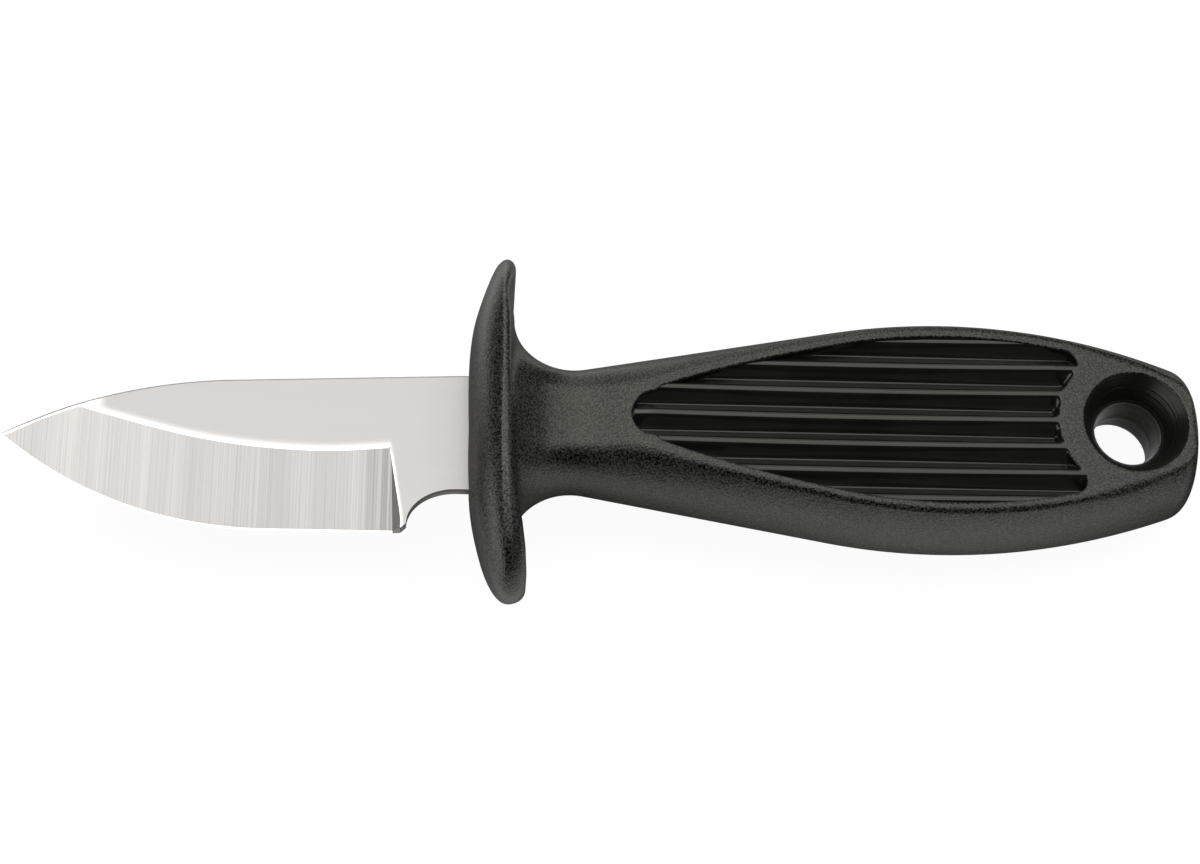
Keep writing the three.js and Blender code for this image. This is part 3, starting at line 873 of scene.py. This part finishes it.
def sink(loops, polished_from, bored=0.0):
    """Strips between loops that go down from the flat; gives back the first and the last loop."""
    made = [[skin_mesh.verts.new(place(*p)) for p in loop] for loop in loops]
    for i, (a, b) in enumerate(zip(made, made[1:])):
        for j in range(len(a)):
            k = (j + 1) % len(a)
            is_polished = float(i >= polished_from)
            skin_face(a[j], a[k], b[k], b[j], polished=is_polished, bored=is_polished * bored)
    return made[0], made[-1]


LIP_LOOPS = 6
LIP_POLISHED = 4
leaf = panel_outline()
lip = [(PANEL_LIP + HOLD, 0.0)]
for angle in np.linspace(0, math.pi / 2, LIP_LOOPS):
    lip.append((PANEL_LIP * (1 - math.sin(angle)), PANEL_LIP * (1 - math.cos(angle))))
leaf_loops = []
for distance, drop in lip:
    leaf_loops.append([(x, y, flat_at(x) - drop) for x, y in offset_loop(leaf, distance)])
leaf_loops.append([(x, y, POCKET_FLOOR) for x, y in leaf])
leaf_top, leaf_floor = sink(leaf_loops, LIP_POLISHED)

BELL_ROWS = 14
BELL_FROM = 0.14
WAIST_ROWS = 7
HOLE_TURNS = 72
bell = [(HOLE_MOUTH + out, FLAT_HALF - down) for out, down in HOLE_LIP]
bell[0] = (bell[0][0] + HOLD, FLAT_HALF)
throat_z = FLAT_HALF - HOLE_THROAT_DEPTH
bell_bend = (mix(HOLE_THROAT, HOLE_MOUTH, HOLE_BEND[0]), FLAT_HALF - HOLE_BEND[1] * HOLE_THROAT_DEPTH)
bell_ends = ((HOLE_MOUTH, FLAT_HALF), bell_bend, (HOLE_THROAT, throat_z))
for i in range(1, BELL_ROWS + 1):
    bell.append(bend_point(mix(BELL_FROM, 1.0, i / BELL_ROWS), bell_ends))
for i in range(1, WAIST_ROWS + 1):
    bell.append((mix(HOLE_THROAT, HOLE_WAIST, i / WAIST_ROWS), mix(throat_z, 0.0, i / WAIST_ROWS)))
hole_turns = [2 * math.pi * j / HOLE_TURNS for j in range(HOLE_TURNS)]
hole_loops = []
for radius, z in bell:
    hole_loops.append([(*on_circle(HOLE_AT, 0.0, radius, turn), z) for turn in hole_turns])
hole_top, _ = sink(hole_loops, len(HOLE_LIP) - 1, bored=1.0)

last_open = max(i for i, row in enumerate(rows) if row[2])
fill_last = max(i for i in range(fill_row, last_open + 1) if skin_rings[i][0][0][0] <= FLAT_END + 0.1)
flat_border = [pick(rows[i], 0, SIDE + 1) for i in range(fill_row, fill_last + 1)]
flat_border += [pick(rows[i], 1, SIDE + 1) for i in range(fill_last, fill_row - 1, -1)]
for i in range(fill_last, last_open + 1):
    bridge_flat(rows[i], rows[i + 1])
fill_edges = loop_edges(flat_border) + loop_edges(leaf_top) + loop_edges(hole_top)
bmesh.ops.triangle_fill(skin_mesh, use_beauty=True, edges=fill_edges, normal=(0, 0, 1))
bmesh.ops.triangle_fill(skin_mesh, use_beauty=True, edges=loop_edges(leaf_floor), normal=(0, 0, 1))
for face in skin_mesh.faces:
    face.smooth = True
half = list(skin_mesh.verts) + list(skin_mesh.edges) + list(skin_mesh.faces)
copied = bmesh.ops.duplicate(skin_mesh, geom=half)["geom"]
for vert in (g for g in copied if isinstance(g, bmesh.types.BMVert)):
    vert.co.z = -vert.co.z
bmesh.ops.remove_doubles(skin_mesh, verts=skin_mesh.verts, dist=1e-7)
bmesh.ops.recalc_face_normals(skin_mesh, faces=skin_mesh.faces)
handle = finish_mesh("moulded_handle", skin_mesh)

# Grain that spark erosion leaves in a mould, and so on the plastic: small pits with rounded tops.
spark_grain = noise_group("spark_grain", (("Height", 3800.0, 2.5, 0.55), ("Mottle", 160.0, 2.0, 0.5)))

SPECULAR_TINT = (0.98, 1.0, 0.87, 1.0)
PLASTIC_TINT = (0.99, 1.0, 0.9)
SKIN_GREY = 0.019
RIDGE_HIGHLIGHT_GREYS = (0.04, 0.13)
POLISH_GREY = 0.008
POLISH_ROUGHNESS = 0.16
BORE_ROUGHNESS = 0.36
GRAZING_ROUGHNESS = 0.65
RING_SCALE = 2200.0
RING_HEIGHT = 1.8
GRAIN_DEPTH = 0.00008
skin_material, skin, skin_shader = principled("spark_textured_plastic")
grain = skin.add("ShaderNodeGroup", node_tree=spark_grain)["Height"]
polish = skin.attribute("polished")
bored = skin.attribute("bored")
# Painted shade: the pits of the grain are painted darker and its tops lighter, standing in for the shading of
# the pits.
grain_shade_level = skin.ramp(grain, 0.45, 0.55, 0.0, 2.0, "LINEAR")
skin_colour = skin.toned(grain_shade_level, grey(SKIN_GREY, PLASTIC_TINT))
# Painted highlight: lighter greys laid on the rim rows of the guard.
ridge_highlight_level = skin.math("MULTIPLY", grain_shade_level, 0.5)
ridge_highlight_colour = skin.blend(ridge_highlight_level, *(grey(level, PLASTIC_TINT) for level in RIDGE_HIGHLIGHT_GREYS))
skin_colour = skin.blend(skin.attribute("ridge_highlight"), skin_colour, ridge_highlight_colour)
skin_rough = skin.ramp(grain, 0.3, 0.7, 0.26, 0.14, "LINEAR")
facing_away = skin.add("ShaderNodeLayerWeight", {"Blend": 0.5})["Facing"]
skin_rough = skin.mix(skin.ramp(facing_away, 0.45, 0.9), skin_rough, GRAZING_ROUGHNESS)
polish_rough = skin.mix(bored, POLISH_ROUGHNESS, BORE_ROUGHNESS)
depth_only = skin.scaled(skin.spot(), (0.0, 0.0, 1.0))
rings_look = {"Vector": depth_only, "Scale": RING_SCALE, "Detail": 1.0}
turned_rings = skin.add("ShaderNodeTexNoise", rings_look)[0]
ring_height = skin.math("MULTIPLY", turned_rings, skin.math("MULTIPLY", bored, RING_HEIGHT))
grain_height = skin.math("MULTIPLY", grain, skin.math("SUBTRACT", 1.0, polish))
skin_height = skin.math("ADD", grain_height, ring_height)
skin_relief = {"Strength": 1.0, "Distance": GRAIN_DEPTH, "Height": skin_height}
skin.plug(skin_shader, {
    "Base Color": skin.blend(polish, skin_colour, grey(POLISH_GREY, PLASTIC_TINT)),
    "Roughness": skin.mix(polish, skin_rough, polish_rough),
    "Normal": skin.add("ShaderNodeBump", skin_relief)[0],
    "IOR": 1.48,
    "Specular Tint": SPECULAR_TINT,
})
handle.data.materials.append(skin_material)
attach(handle, "root")
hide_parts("handle")


# Ribbed panels: the polished floors of the two leaf-shaped recesses, moulded in one with the handle.
# Six ball-ended grooves run along each one and leave seven crests, which dip in a shallow hollow
# between the nose and the boss of the hang hole.
RIB_PITCH = 3.65
GROOVE_RADIUS = 1.45
PANEL_DISH = 0.55
PANEL_MARGIN = 0.35
PANEL_SLAB_BOTTOM = 5.0
CREST_ROUND = 0.16
GROOVE_SHARP = 0.45
GROOVE_END_RUN = 0.3
GROOVE_END_SHARE = 0.7
SHEET_COUNTS = (110, 171)
SHEET_CROWDING = 1.5
CREST_CROWDING = 0.6
WELD_GAP = 0.001

ribs = bpy.data.node_groups.new("ribbed_panels", "GeometryNodeTree")
ribs.interface.new_socket(name="Panels", in_out="OUTPUT", socket_type="NodeSocketGeometry")
rib_sizes = {
    "Rib Pitch": RIB_PITCH,
    "Groove Radius": GROOVE_RADIUS,
    "Groove Sharpness": GROOVE_SHARP,
    "Groove End Run": GROOVE_END_RUN,
    "Crest Rounding": CREST_ROUND,
    "Dish Depth": PANEL_DISH,
    "Face Height": FLAT_HALF,
    "Slab Bottom": PANEL_SLAB_BOTTOM,
    "Nose Station": PANEL_NOSE_AT,
    "Rear Station": corner_x + PANEL_CORNER,
    "Neck Station": NECK_AT,
    "Flat Drop": FLAT_DROP,
    "Flat Drop Run": FLAT_DROP_RUN,
    "Hole Station": HOLE_AT,
    "Boss Radius": BOSS_RADIUS,
    "Margin": PANEL_MARGIN,
    "Half Width": panel_flank_at(BELLY_AT) + PANEL_MARGIN,
    "Belly Radius": BELLY_RADIUS,
    "Belly Station": BELLY_AT,
    "Belly Arc": BELLY_ARC,
    "Cone End": CONE_END,
    "Cone Slope": math.tan(CONE_ANGLE),
    "Land": PANEL_LAND,
    "Nose Land": PANEL_NOSE_LAND,
    "Land Run": PANEL_LAND_RUN,
}
rib_sockets = {}
for label, value in rib_sizes.items():
    rib_sockets[label] = ribs.interface.new_socket(name=label, in_out="INPUT", socket_type="NodeSocketFloat")
rib_nodes = Nodes(ribs)
rib_in = rib_nodes.add("NodeGroupInput")
rib_out = ribs.nodes.new("NodeGroupOutput")
m = rib_nodes.math


def join(x, y, z):
    return rib_nodes.add("ShaderNodeCombineXYZ", {0: x, 1: y, 2: z})[0]


def shape(kind, sockets=None, **settings):
    return rib_nodes.add("GeometryNode" + kind, sockets, **settings)[0]


def squared(value):
    return m("MULTIPLY", value, value)


def drop_on_arc(offset):
    """How far the belly's arc has come down at an offset from its top."""
    arc = rib_in["Belly Arc"]
    return m("SUBTRACT", arc, m("SQRT", m("SUBTRACT", m("POWER", arc, 2.0), squared(offset))))


sheet_width = m("MULTIPLY", rib_in["Half Width"], 2.0)
sheet = shape(
    "MeshGrid",
    {"Size X": 1.0, "Size Y": sheet_width, "Vertices X": SHEET_COUNTS[0], "Vertices Y": SHEET_COUNTS[1]},
)
spot = rib_nodes.split(shape("InputPosition"))
back_share = m("POWER", m("SUBTRACT", 0.5, spot[0]), SHEET_CROWDING)
first_x = m("SUBTRACT", rib_in["Nose Station"], rib_in["Margin"])
last_x = m("ADD", rib_in["Rear Station"], rib_in["Margin"])
station = m("SUBTRACT", last_x, m("MULTIPLY", back_share, m("SUBTRACT", last_x, first_x)))
row_turn = m("SINE", m("MULTIPLY", m("DIVIDE", spot[1], rib_in["Rib Pitch"]), 4 * math.pi))
row_pull = m("MULTIPLY", rib_in["Rib Pitch"], CREST_CROWDING / (4 * math.pi))
row_y = m("SUBTRACT", spot[1], m("MULTIPLY", row_turn, row_pull))
sheet_spot = join(station, row_y, rib_in["Slab Bottom"])
floor_sheet = shape("SetPosition", {"Geometry": sheet, "Position": sheet_spot})

x, y, _ = rib_nodes.split(shape("InputPosition"))
belly_drop = drop_on_arc(m("SUBTRACT", x, rib_in["Belly Station"]))
on_arc = m("SUBTRACT", rib_in["Belly Radius"], belly_drop)
cone_drop = drop_on_arc(m("SUBTRACT", rib_in["Cone End"], rib_in["Belly Station"]))
cone_top = m("SUBTRACT", rib_in["Belly Radius"], cone_drop)
cone_fall = m("MULTIPLY", rib_in["Cone Slope"], m("SUBTRACT", rib_in["Cone End"], x))
is_cone = m("LESS_THAN", x, rib_in["Cone End"])
grip_radius = rib_nodes.mix(is_cone, on_arc, m("SUBTRACT", cone_top, cone_fall))
flat_square = m("SUBTRACT", squared(grip_radius), m("POWER", rib_in["Face Height"], 2.0))
flat_edge = m("SQRT", m("MAXIMUM", 0.0, flat_square))
from_nose = m("SUBTRACT", x, rib_in["Nose Station"])
near_nose = m("MAXIMUM", 0.0, m("SUBTRACT", 1.0, m("DIVIDE", from_nose, rib_in["Land Run"])))
land = rib_nodes.mix(squared(near_nose), rib_in["Land"], rib_in["Nose Land"])
flank = m("ADD", m("SUBTRACT", flat_edge, land), rib_in["Margin"])
outside = m("GREATER_THAN", m("ABSOLUTE", y), flank)
hole_gap = m("SUBTRACT", x, rib_in["Hole Station"])
hole_far = m("SQRT", m("ADD", squared(hole_gap), squared(y)))
boss_keep = m("SUBTRACT", rib_in["Boss Radius"], m("MULTIPLY", rib_in["Margin"], 2.0))
in_boss = m("LESS_THAN", hole_far, boss_keep)
cut_off = m("ADD", outside, in_boss)
leaf_sheet = shape("DeleteGeometry", {"Geometry": floor_sheet, "Selection": cut_off}, domain="FACE")

lift = {"Mesh": leaf_sheet, "Offset Scale": 1.0, "Individual": False}
raised = rib_nodes.add("GeometryNodeExtrudeMesh", lift, mode="FACES")
dish_end = m("SUBTRACT", rib_in["Hole Station"], rib_in["Boss Radius"])
dish_share = m("DIVIDE", from_nose, m("SUBTRACT", dish_end, rib_in["Nose Station"]), clamp=True)
dish_curve = m("MULTIPLY", dish_share, m("SUBTRACT", 1.0, dish_share))
dish = m("MULTIPLY", m("MULTIPLY", rib_in["Dish Depth"], 4.0), dish_curve)
from_neck = m("DIVIDE", m("SUBTRACT", x, rib_in["Neck Station"]), rib_in["Flat Drop Run"])
nose_drop = m("MULTIPLY", rib_in["Flat Drop"], rib_nodes.ramp(from_neck, 0.0, 1.0, 1.0, 0.0))
crest = m("SUBTRACT", m("SUBTRACT", rib_in["Face Height"], dish), nose_drop)
groove_number = m("FLOOR", m("DIVIDE", y, rib_in["Rib Pitch"]))
groove_y = m("MULTIPLY", m("ADD", groove_number, 0.5), rib_in["Rib Pitch"])
to_boss = m("SUBTRACT", hole_far, rib_in["Boss Radius"])
end_reach = m("MULTIPLY", rib_in["Groove Radius"], GROOVE_END_SHARE)
end_steepness = m("DIVIDE", end_reach, rib_in["Groove End Run"])
past_end = m("MULTIPLY", m("MAXIMUM", 0.0, m("SUBTRACT", rib_in["Groove End Run"], to_boss)), end_steepness)
off_axis = m("SQRT", m("ADD", squared(past_end), squared(m("SUBTRACT", y, groove_y))))


def flare_out(reach):
    """Hyperbola from the round bottom of a groove to its straight walls."""
    sharp = rib_in["Groove Sharpness"]
    return m("SUBTRACT", m("SQRT", m("ADD", squared(reach), squared(sharp))), sharp)


dish_foot = m("SUBTRACT", rib_in["Face Height"], rib_in["Dish Depth"])
groove_foot = m("SUBTRACT", dish_foot, rib_in["Groove Radius"])
wall_share = m("DIVIDE", flare_out(off_axis), flare_out(rib_in["Groove Radius"]))
wall = m("ADD", groove_foot, m("MULTIPLY", wall_share, m("SUBTRACT", crest, groove_foot)))
gap = m("SUBTRACT", wall, crest)
soft = m("SQRT", m("ADD", squared(gap), m("POWER", rib_in["Crest Rounding"], 2.0)))
height = m("MULTIPLY", m("SUBTRACT", m("ADD", wall, crest), soft), 0.5)
raised_to = {"Geometry": raised["Mesh"], "Selection": raised["Top"], "Position": join(x, y, height)}
topped = shape("SetPosition", raised_to)
both = ribs.nodes.new("GeometryNodeJoinGeometry")
for half_panel in (topped, shape("FlipFaces", {"Mesh": leaf_sheet})):
    ribs.links.new(half_panel, both.inputs[0])
panel = shape("MergeByDistance", {"Geometry": both.outputs[0], "Distance": WELD_GAP})
panel = shape("SetShadeSmooth", {"Geometry": panel})
two = shape("MeshLine", {"Count": 2, "Offset": (0.0, 0.0, 0.0)}, mode="OFFSET")
turn = m("MULTIPLY", shape("InputIndex"), math.pi)
turned = rib_nodes.add("FunctionNodeEulerToRotation", {0: join(turn, 0.0, 0.0)})[0]
panel_pair = shape("InstanceOnPoints", {"Points": two, "Instance": panel, "Rotation": turned})
real = shape("RealizeInstances", {"Geometry": panel_pair})
to_frame = shape("Transform", {"Geometry": real, "Translation": place(0, 0, 0), "Scale": (MM, MM, MM)})

GLOSS_GREY = 0.011
GLOSS_TINT = (0.99, 1.0, 0.88)
GLOSS_DEPTH = 0.00001
gloss_material, gloss, gloss_shader = principled("polished_black_plastic")
gloss_grain = gloss.add("ShaderNodeGroup", {"Height Scale": 900.0}, node_tree=spark_grain)
gloss_level = gloss.ramp(gloss_grain["Mottle"], 0.3, 0.7, 0.8, 1.2, "LINEAR")
gloss_relief = {"Strength": 0.3, "Distance": GLOSS_DEPTH, "Height": gloss_grain["Height"]}
gloss.plug(gloss_shader, {
    "Base Color": gloss.toned(gloss_level, grey(GLOSS_GREY, GLOSS_TINT)),
    "Roughness": gloss.ramp(gloss_grain["Height"], 0.3, 0.7, 0.13, 0.2, "LINEAR"),
    "Normal": gloss.add("ShaderNodeBump", gloss_relief)[0],
    "IOR": 1.52,
    "Specular Tint": SPECULAR_TINT,
})
dressed = shape("SetMaterial", {"Geometry": to_frame, "Material": gloss_material})
ribs.links.new(dressed, rib_out.inputs[0])

maker = new_object("ribbed_panels_maker", bpy.data.meshes.new("ribbed_panels_seed"))
modifier = maker.modifiers.new("ribs", "NODES")
modifier.node_group = ribs
for label, value in rib_sizes.items():
    modifier[rib_sockets[label].identifier] = value
depsgraph = bpy.context.evaluated_depsgraph_get()
panel_mesh = bpy.data.meshes.new_from_object(maker.evaluated_get(depsgraph))
panel_mesh.name = "ribbed_panels"
bpy.data.objects.remove(maker)
panels = new_object("ribbed_panels", panel_mesh)
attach(panels, "root")
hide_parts("handle")


# Table, light and camera: the knife lies on a white table on the rim of its guard and the edge of its
# butt, under two wide soft lamps side by side, with a pale wall behind and white cards at the ends.
REST_FRONT = (GUARD_DOME_DEPTH, -GUARD_HALF_WIDTH)
REST_BACK = (93.9, -FLAT_HALF)
REST_GAP = 0.06
TABLE_SIZE = 6.0
TABLE_GREY = 0.85
SHADOW_GREY = 0.1
TABLE_GLOW = 0.95
FRONT_GLOW = (-0.038, -0.007, 1.16, 0.03)
REAR_GLOW = (0.009, 0.042, 0.03, 1.2)
REAR_GLOW_LEFT = 0.05
REAR_FAR = (0.03, 0.06)
REAR_BEARING = (0.0, 0.32)
REAR_BEARING_FROM = -0.012
BLADE_GLOW = (-0.03, -0.018, 0.45, 0.0)
HOLE_GLOW = ((0.003, 0.0075, 0.06, 1.2), (0.0095, 0.012, 1.0, 0.0))
table_lean = math.atan2(REST_BACK[1] - REST_FRONT[1], REST_BACK[0] - REST_FRONT[0])
table_mesh = bmesh.new()
bmesh.ops.create_grid(table_mesh, x_segments=2, y_segments=2, size=TABLE_SIZE / 2)
rest_spot = Vector(place(REST_FRONT[0], 0.0, REST_FRONT[1] - REST_GAP))
bmesh.ops.transform(
    table_mesh,
    matrix=Matrix.Translation(rest_spot) @ Matrix.Rotation(-table_lean, 4, "Y"),
    verts=table_mesh.verts,
)
table = finish_mesh("white_table", table_mesh)
white_material, white, white_shader = principled("white_table_top")
white.tree.nodes.remove(white_shader)
path = white.add("ShaderNodeLightPath")
seen = white.math("ADD", path["Is Camera Ray"], path["Is Transmission Ray"], clamp=True)
plain = white.add("ShaderNodeBsdfDiffuse", {"Color": grey(TABLE_GREY)})[0]
faint = white.add("ShaderNodeBsdfDiffuse", {"Color": grey(SHADOW_GREY)})[0]
glow = white.add("ShaderNodeEmission", {"Color": grey(1.0), "Strength": TABLE_GLOW})[0]
lit = white.add("ShaderNodeAddShader", {0: faint, 1: glow})[0]
# Painted light: as the steel and plastic see the table in their reflections, it carries a painted shadow
# close to the knife on both sides and far behind the grip, is painted lighter under the blade, and holds a
# painted pool of light in a ring round the spot under the hang hole.
table_x, table_y, _ = white.split(white.spot())
front_side = white.ramp(table_y, *FRONT_GLOW)
rear_aside = white.math("SUBTRACT", table_x, REAR_BEARING_FROM)
rear_bearing = white.ramp(white.math("DIVIDE", rear_aside, table_y), *REAR_BEARING)
behind_grip = white.math("MULTIPLY", rear_bearing, white.ramp(table_y, *REAR_FAR))
rear_share = white.mix(behind_grip, 1.0, REAR_GLOW_LEFT)
rear_side = white.math("MULTIPLY", white.ramp(table_y, *REAR_GLOW), rear_share)
before = white.ramp(table_x, *BLADE_GLOW)
hole_spot = place(HOLE_AT, 0, 0)[:2] + (0.0,)
table_plan = white.add("ShaderNodeCombineXYZ", {0: table_x, 1: table_y})[0]
from_hole = white.add("ShaderNodeVectorMath", {0: table_plan, 1: hole_spot}, operation="DISTANCE")["Value"]
hole_light_pool = white.chain("MULTIPLY", *(white.ramp(from_hole, *glow_ring) for glow_ring in HOLE_GLOW))
shade = white.chain("MAXIMUM", front_side, rear_side, before, hole_light_pool)
mirrored_painted_light = white.add("ShaderNodeEmission", {"Color": grey(1.0), "Strength": shade})[0]
table_look = plain
for ray, look in ((path["Is Glossy Ray"], mirrored_painted_light), (seen, lit)):
    table_look = white.add("ShaderNodeMixShader", {0: ray, 1: table_look, 2: look})[0]
white.plug(white.tree.nodes["Material Output"], {"Surface": table_look})
table.data.materials.append(white_material)

CAMERA_TILT = math.radians(22.0)
CAMERA_PITCH = math.radians(3.2)
CAMERA_DISTANCE = 0.300
CAMERA_SPOT = Vector((-0.0006, -0.00023, 0.0))
PIXELS_PER_MM = 7.634
PHOTO_WIDTH = 1200
SENSOR_WIDTH = 36.0
ct, st = math.cos(CAMERA_TILT), math.sin(CAMERA_TILT)
cp, sp = math.cos(CAMERA_PITCH), math.sin(CAMERA_PITCH)
right = Vector((cp, 0.0, sp))
up = Vector((-sp * st, ct, cp * st))
back = Vector((-sp * ct, -st, cp * ct))
camera_data = bpy.data.cameras.new("product_camera")
camera_data.sensor_fit = "HORIZONTAL"
camera_data.sensor_width = SENSOR_WIDTH
camera_data.lens = PIXELS_PER_MM * CAMERA_DISTANCE / MM / PHOTO_WIDTH * SENSOR_WIDTH
camera_data.clip_start = 0.01
camera = new_object("product_camera", camera_data)
facing = Matrix((right, up, back)).transposed().to_4x4()
camera.matrix_world = Matrix.Translation(CAMERA_SPOT + back * CAMERA_DISTANCE) @ facing
bpy.context.scene.camera = camera

LAMP_DISTANCE = 0.9
LAMP_DEPTH = 0.76
LAMP_LEAN = math.radians(13.0)
LAMPS = (("blade_lamp", -0.65, 0.05, 2.3), ("grip_lamp", 0.05, 0.65, 1.65))
lamp_out = Vector((0.0, math.sin(LAMP_LEAN), math.cos(LAMP_LEAN)))
for lamp_name, start, end, radiance in LAMPS:
    lamp_data = bpy.data.lights.new(lamp_name, "AREA")
    lamp_data.shape = "RECTANGLE"
    lamp_data.size, lamp_data.size_y = end - start, LAMP_DEPTH
    lamp_data.energy = radiance * math.pi * (end - start) * LAMP_DEPTH
    lamp = new_object(lamp_name, lamp_data)
    lamp_at = lamp_out * LAMP_DISTANCE + Vector(((start + end) / 2, 0.0, 0.0))
    lamp.matrix_world = Matrix.Translation(lamp_at) @ Matrix.Rotation(-LAMP_LEAN, 4, "X")

# Where the wall and the two cards stand, by direction: axis, then from, to and the level at each.
PALE_WALL = ((1, 0.3, 0.72, 0.0, 1.15), (0, -0.45, -0.2, 0.0, 1.0), (0, 0.1, 0.38, 1.0, 0.03))
BLADE_CARD = ((1, -0.06, 0.14, 2.6, 0.0), (0, -0.66, -0.36, 1.0, 0.0), (2, 0.22, 0.48, 1.0, 0.0))
BUTT_CARD = (
    (1, 0.4, 0.62, 1.5, 0.0),
    (0, 0.42, 0.58, 0.0, 1.0),
    (0, 0.6, 0.92, 1.0, 0.15),
    (1, -0.3, -0.05, 0.2, 1.0),
)
room_world = bpy.data.worlds.new("studio_room")
room_world.use_nodes = True
bpy.context.scene.world = room_world
room = Nodes(room_world.node_tree)
way = room.split(room.add("ShaderNodeTexCoord")["Generated"])
pale = []
for surface in (PALE_WALL, BLADE_CARD, BUTT_CARD):
    pale.append(room.chain("MULTIPLY", *(room.ramp(way[axis], *levels) for axis, *levels in surface)))
room_path = room.add("ShaderNodeLightPath")
room_seen = room.math("MAXIMUM", room_path["Is Camera Ray"], room_path["Is Transmission Ray"])
room_light = room.mix(room_seen, room.chain("MAXIMUM", *pale), 1.0)
room.plug(room.tree.nodes["Background"], {"Color": grey(1.0), "Strength": room_light})

bpy.context.scene.view_settings.view_transform = "Standard"
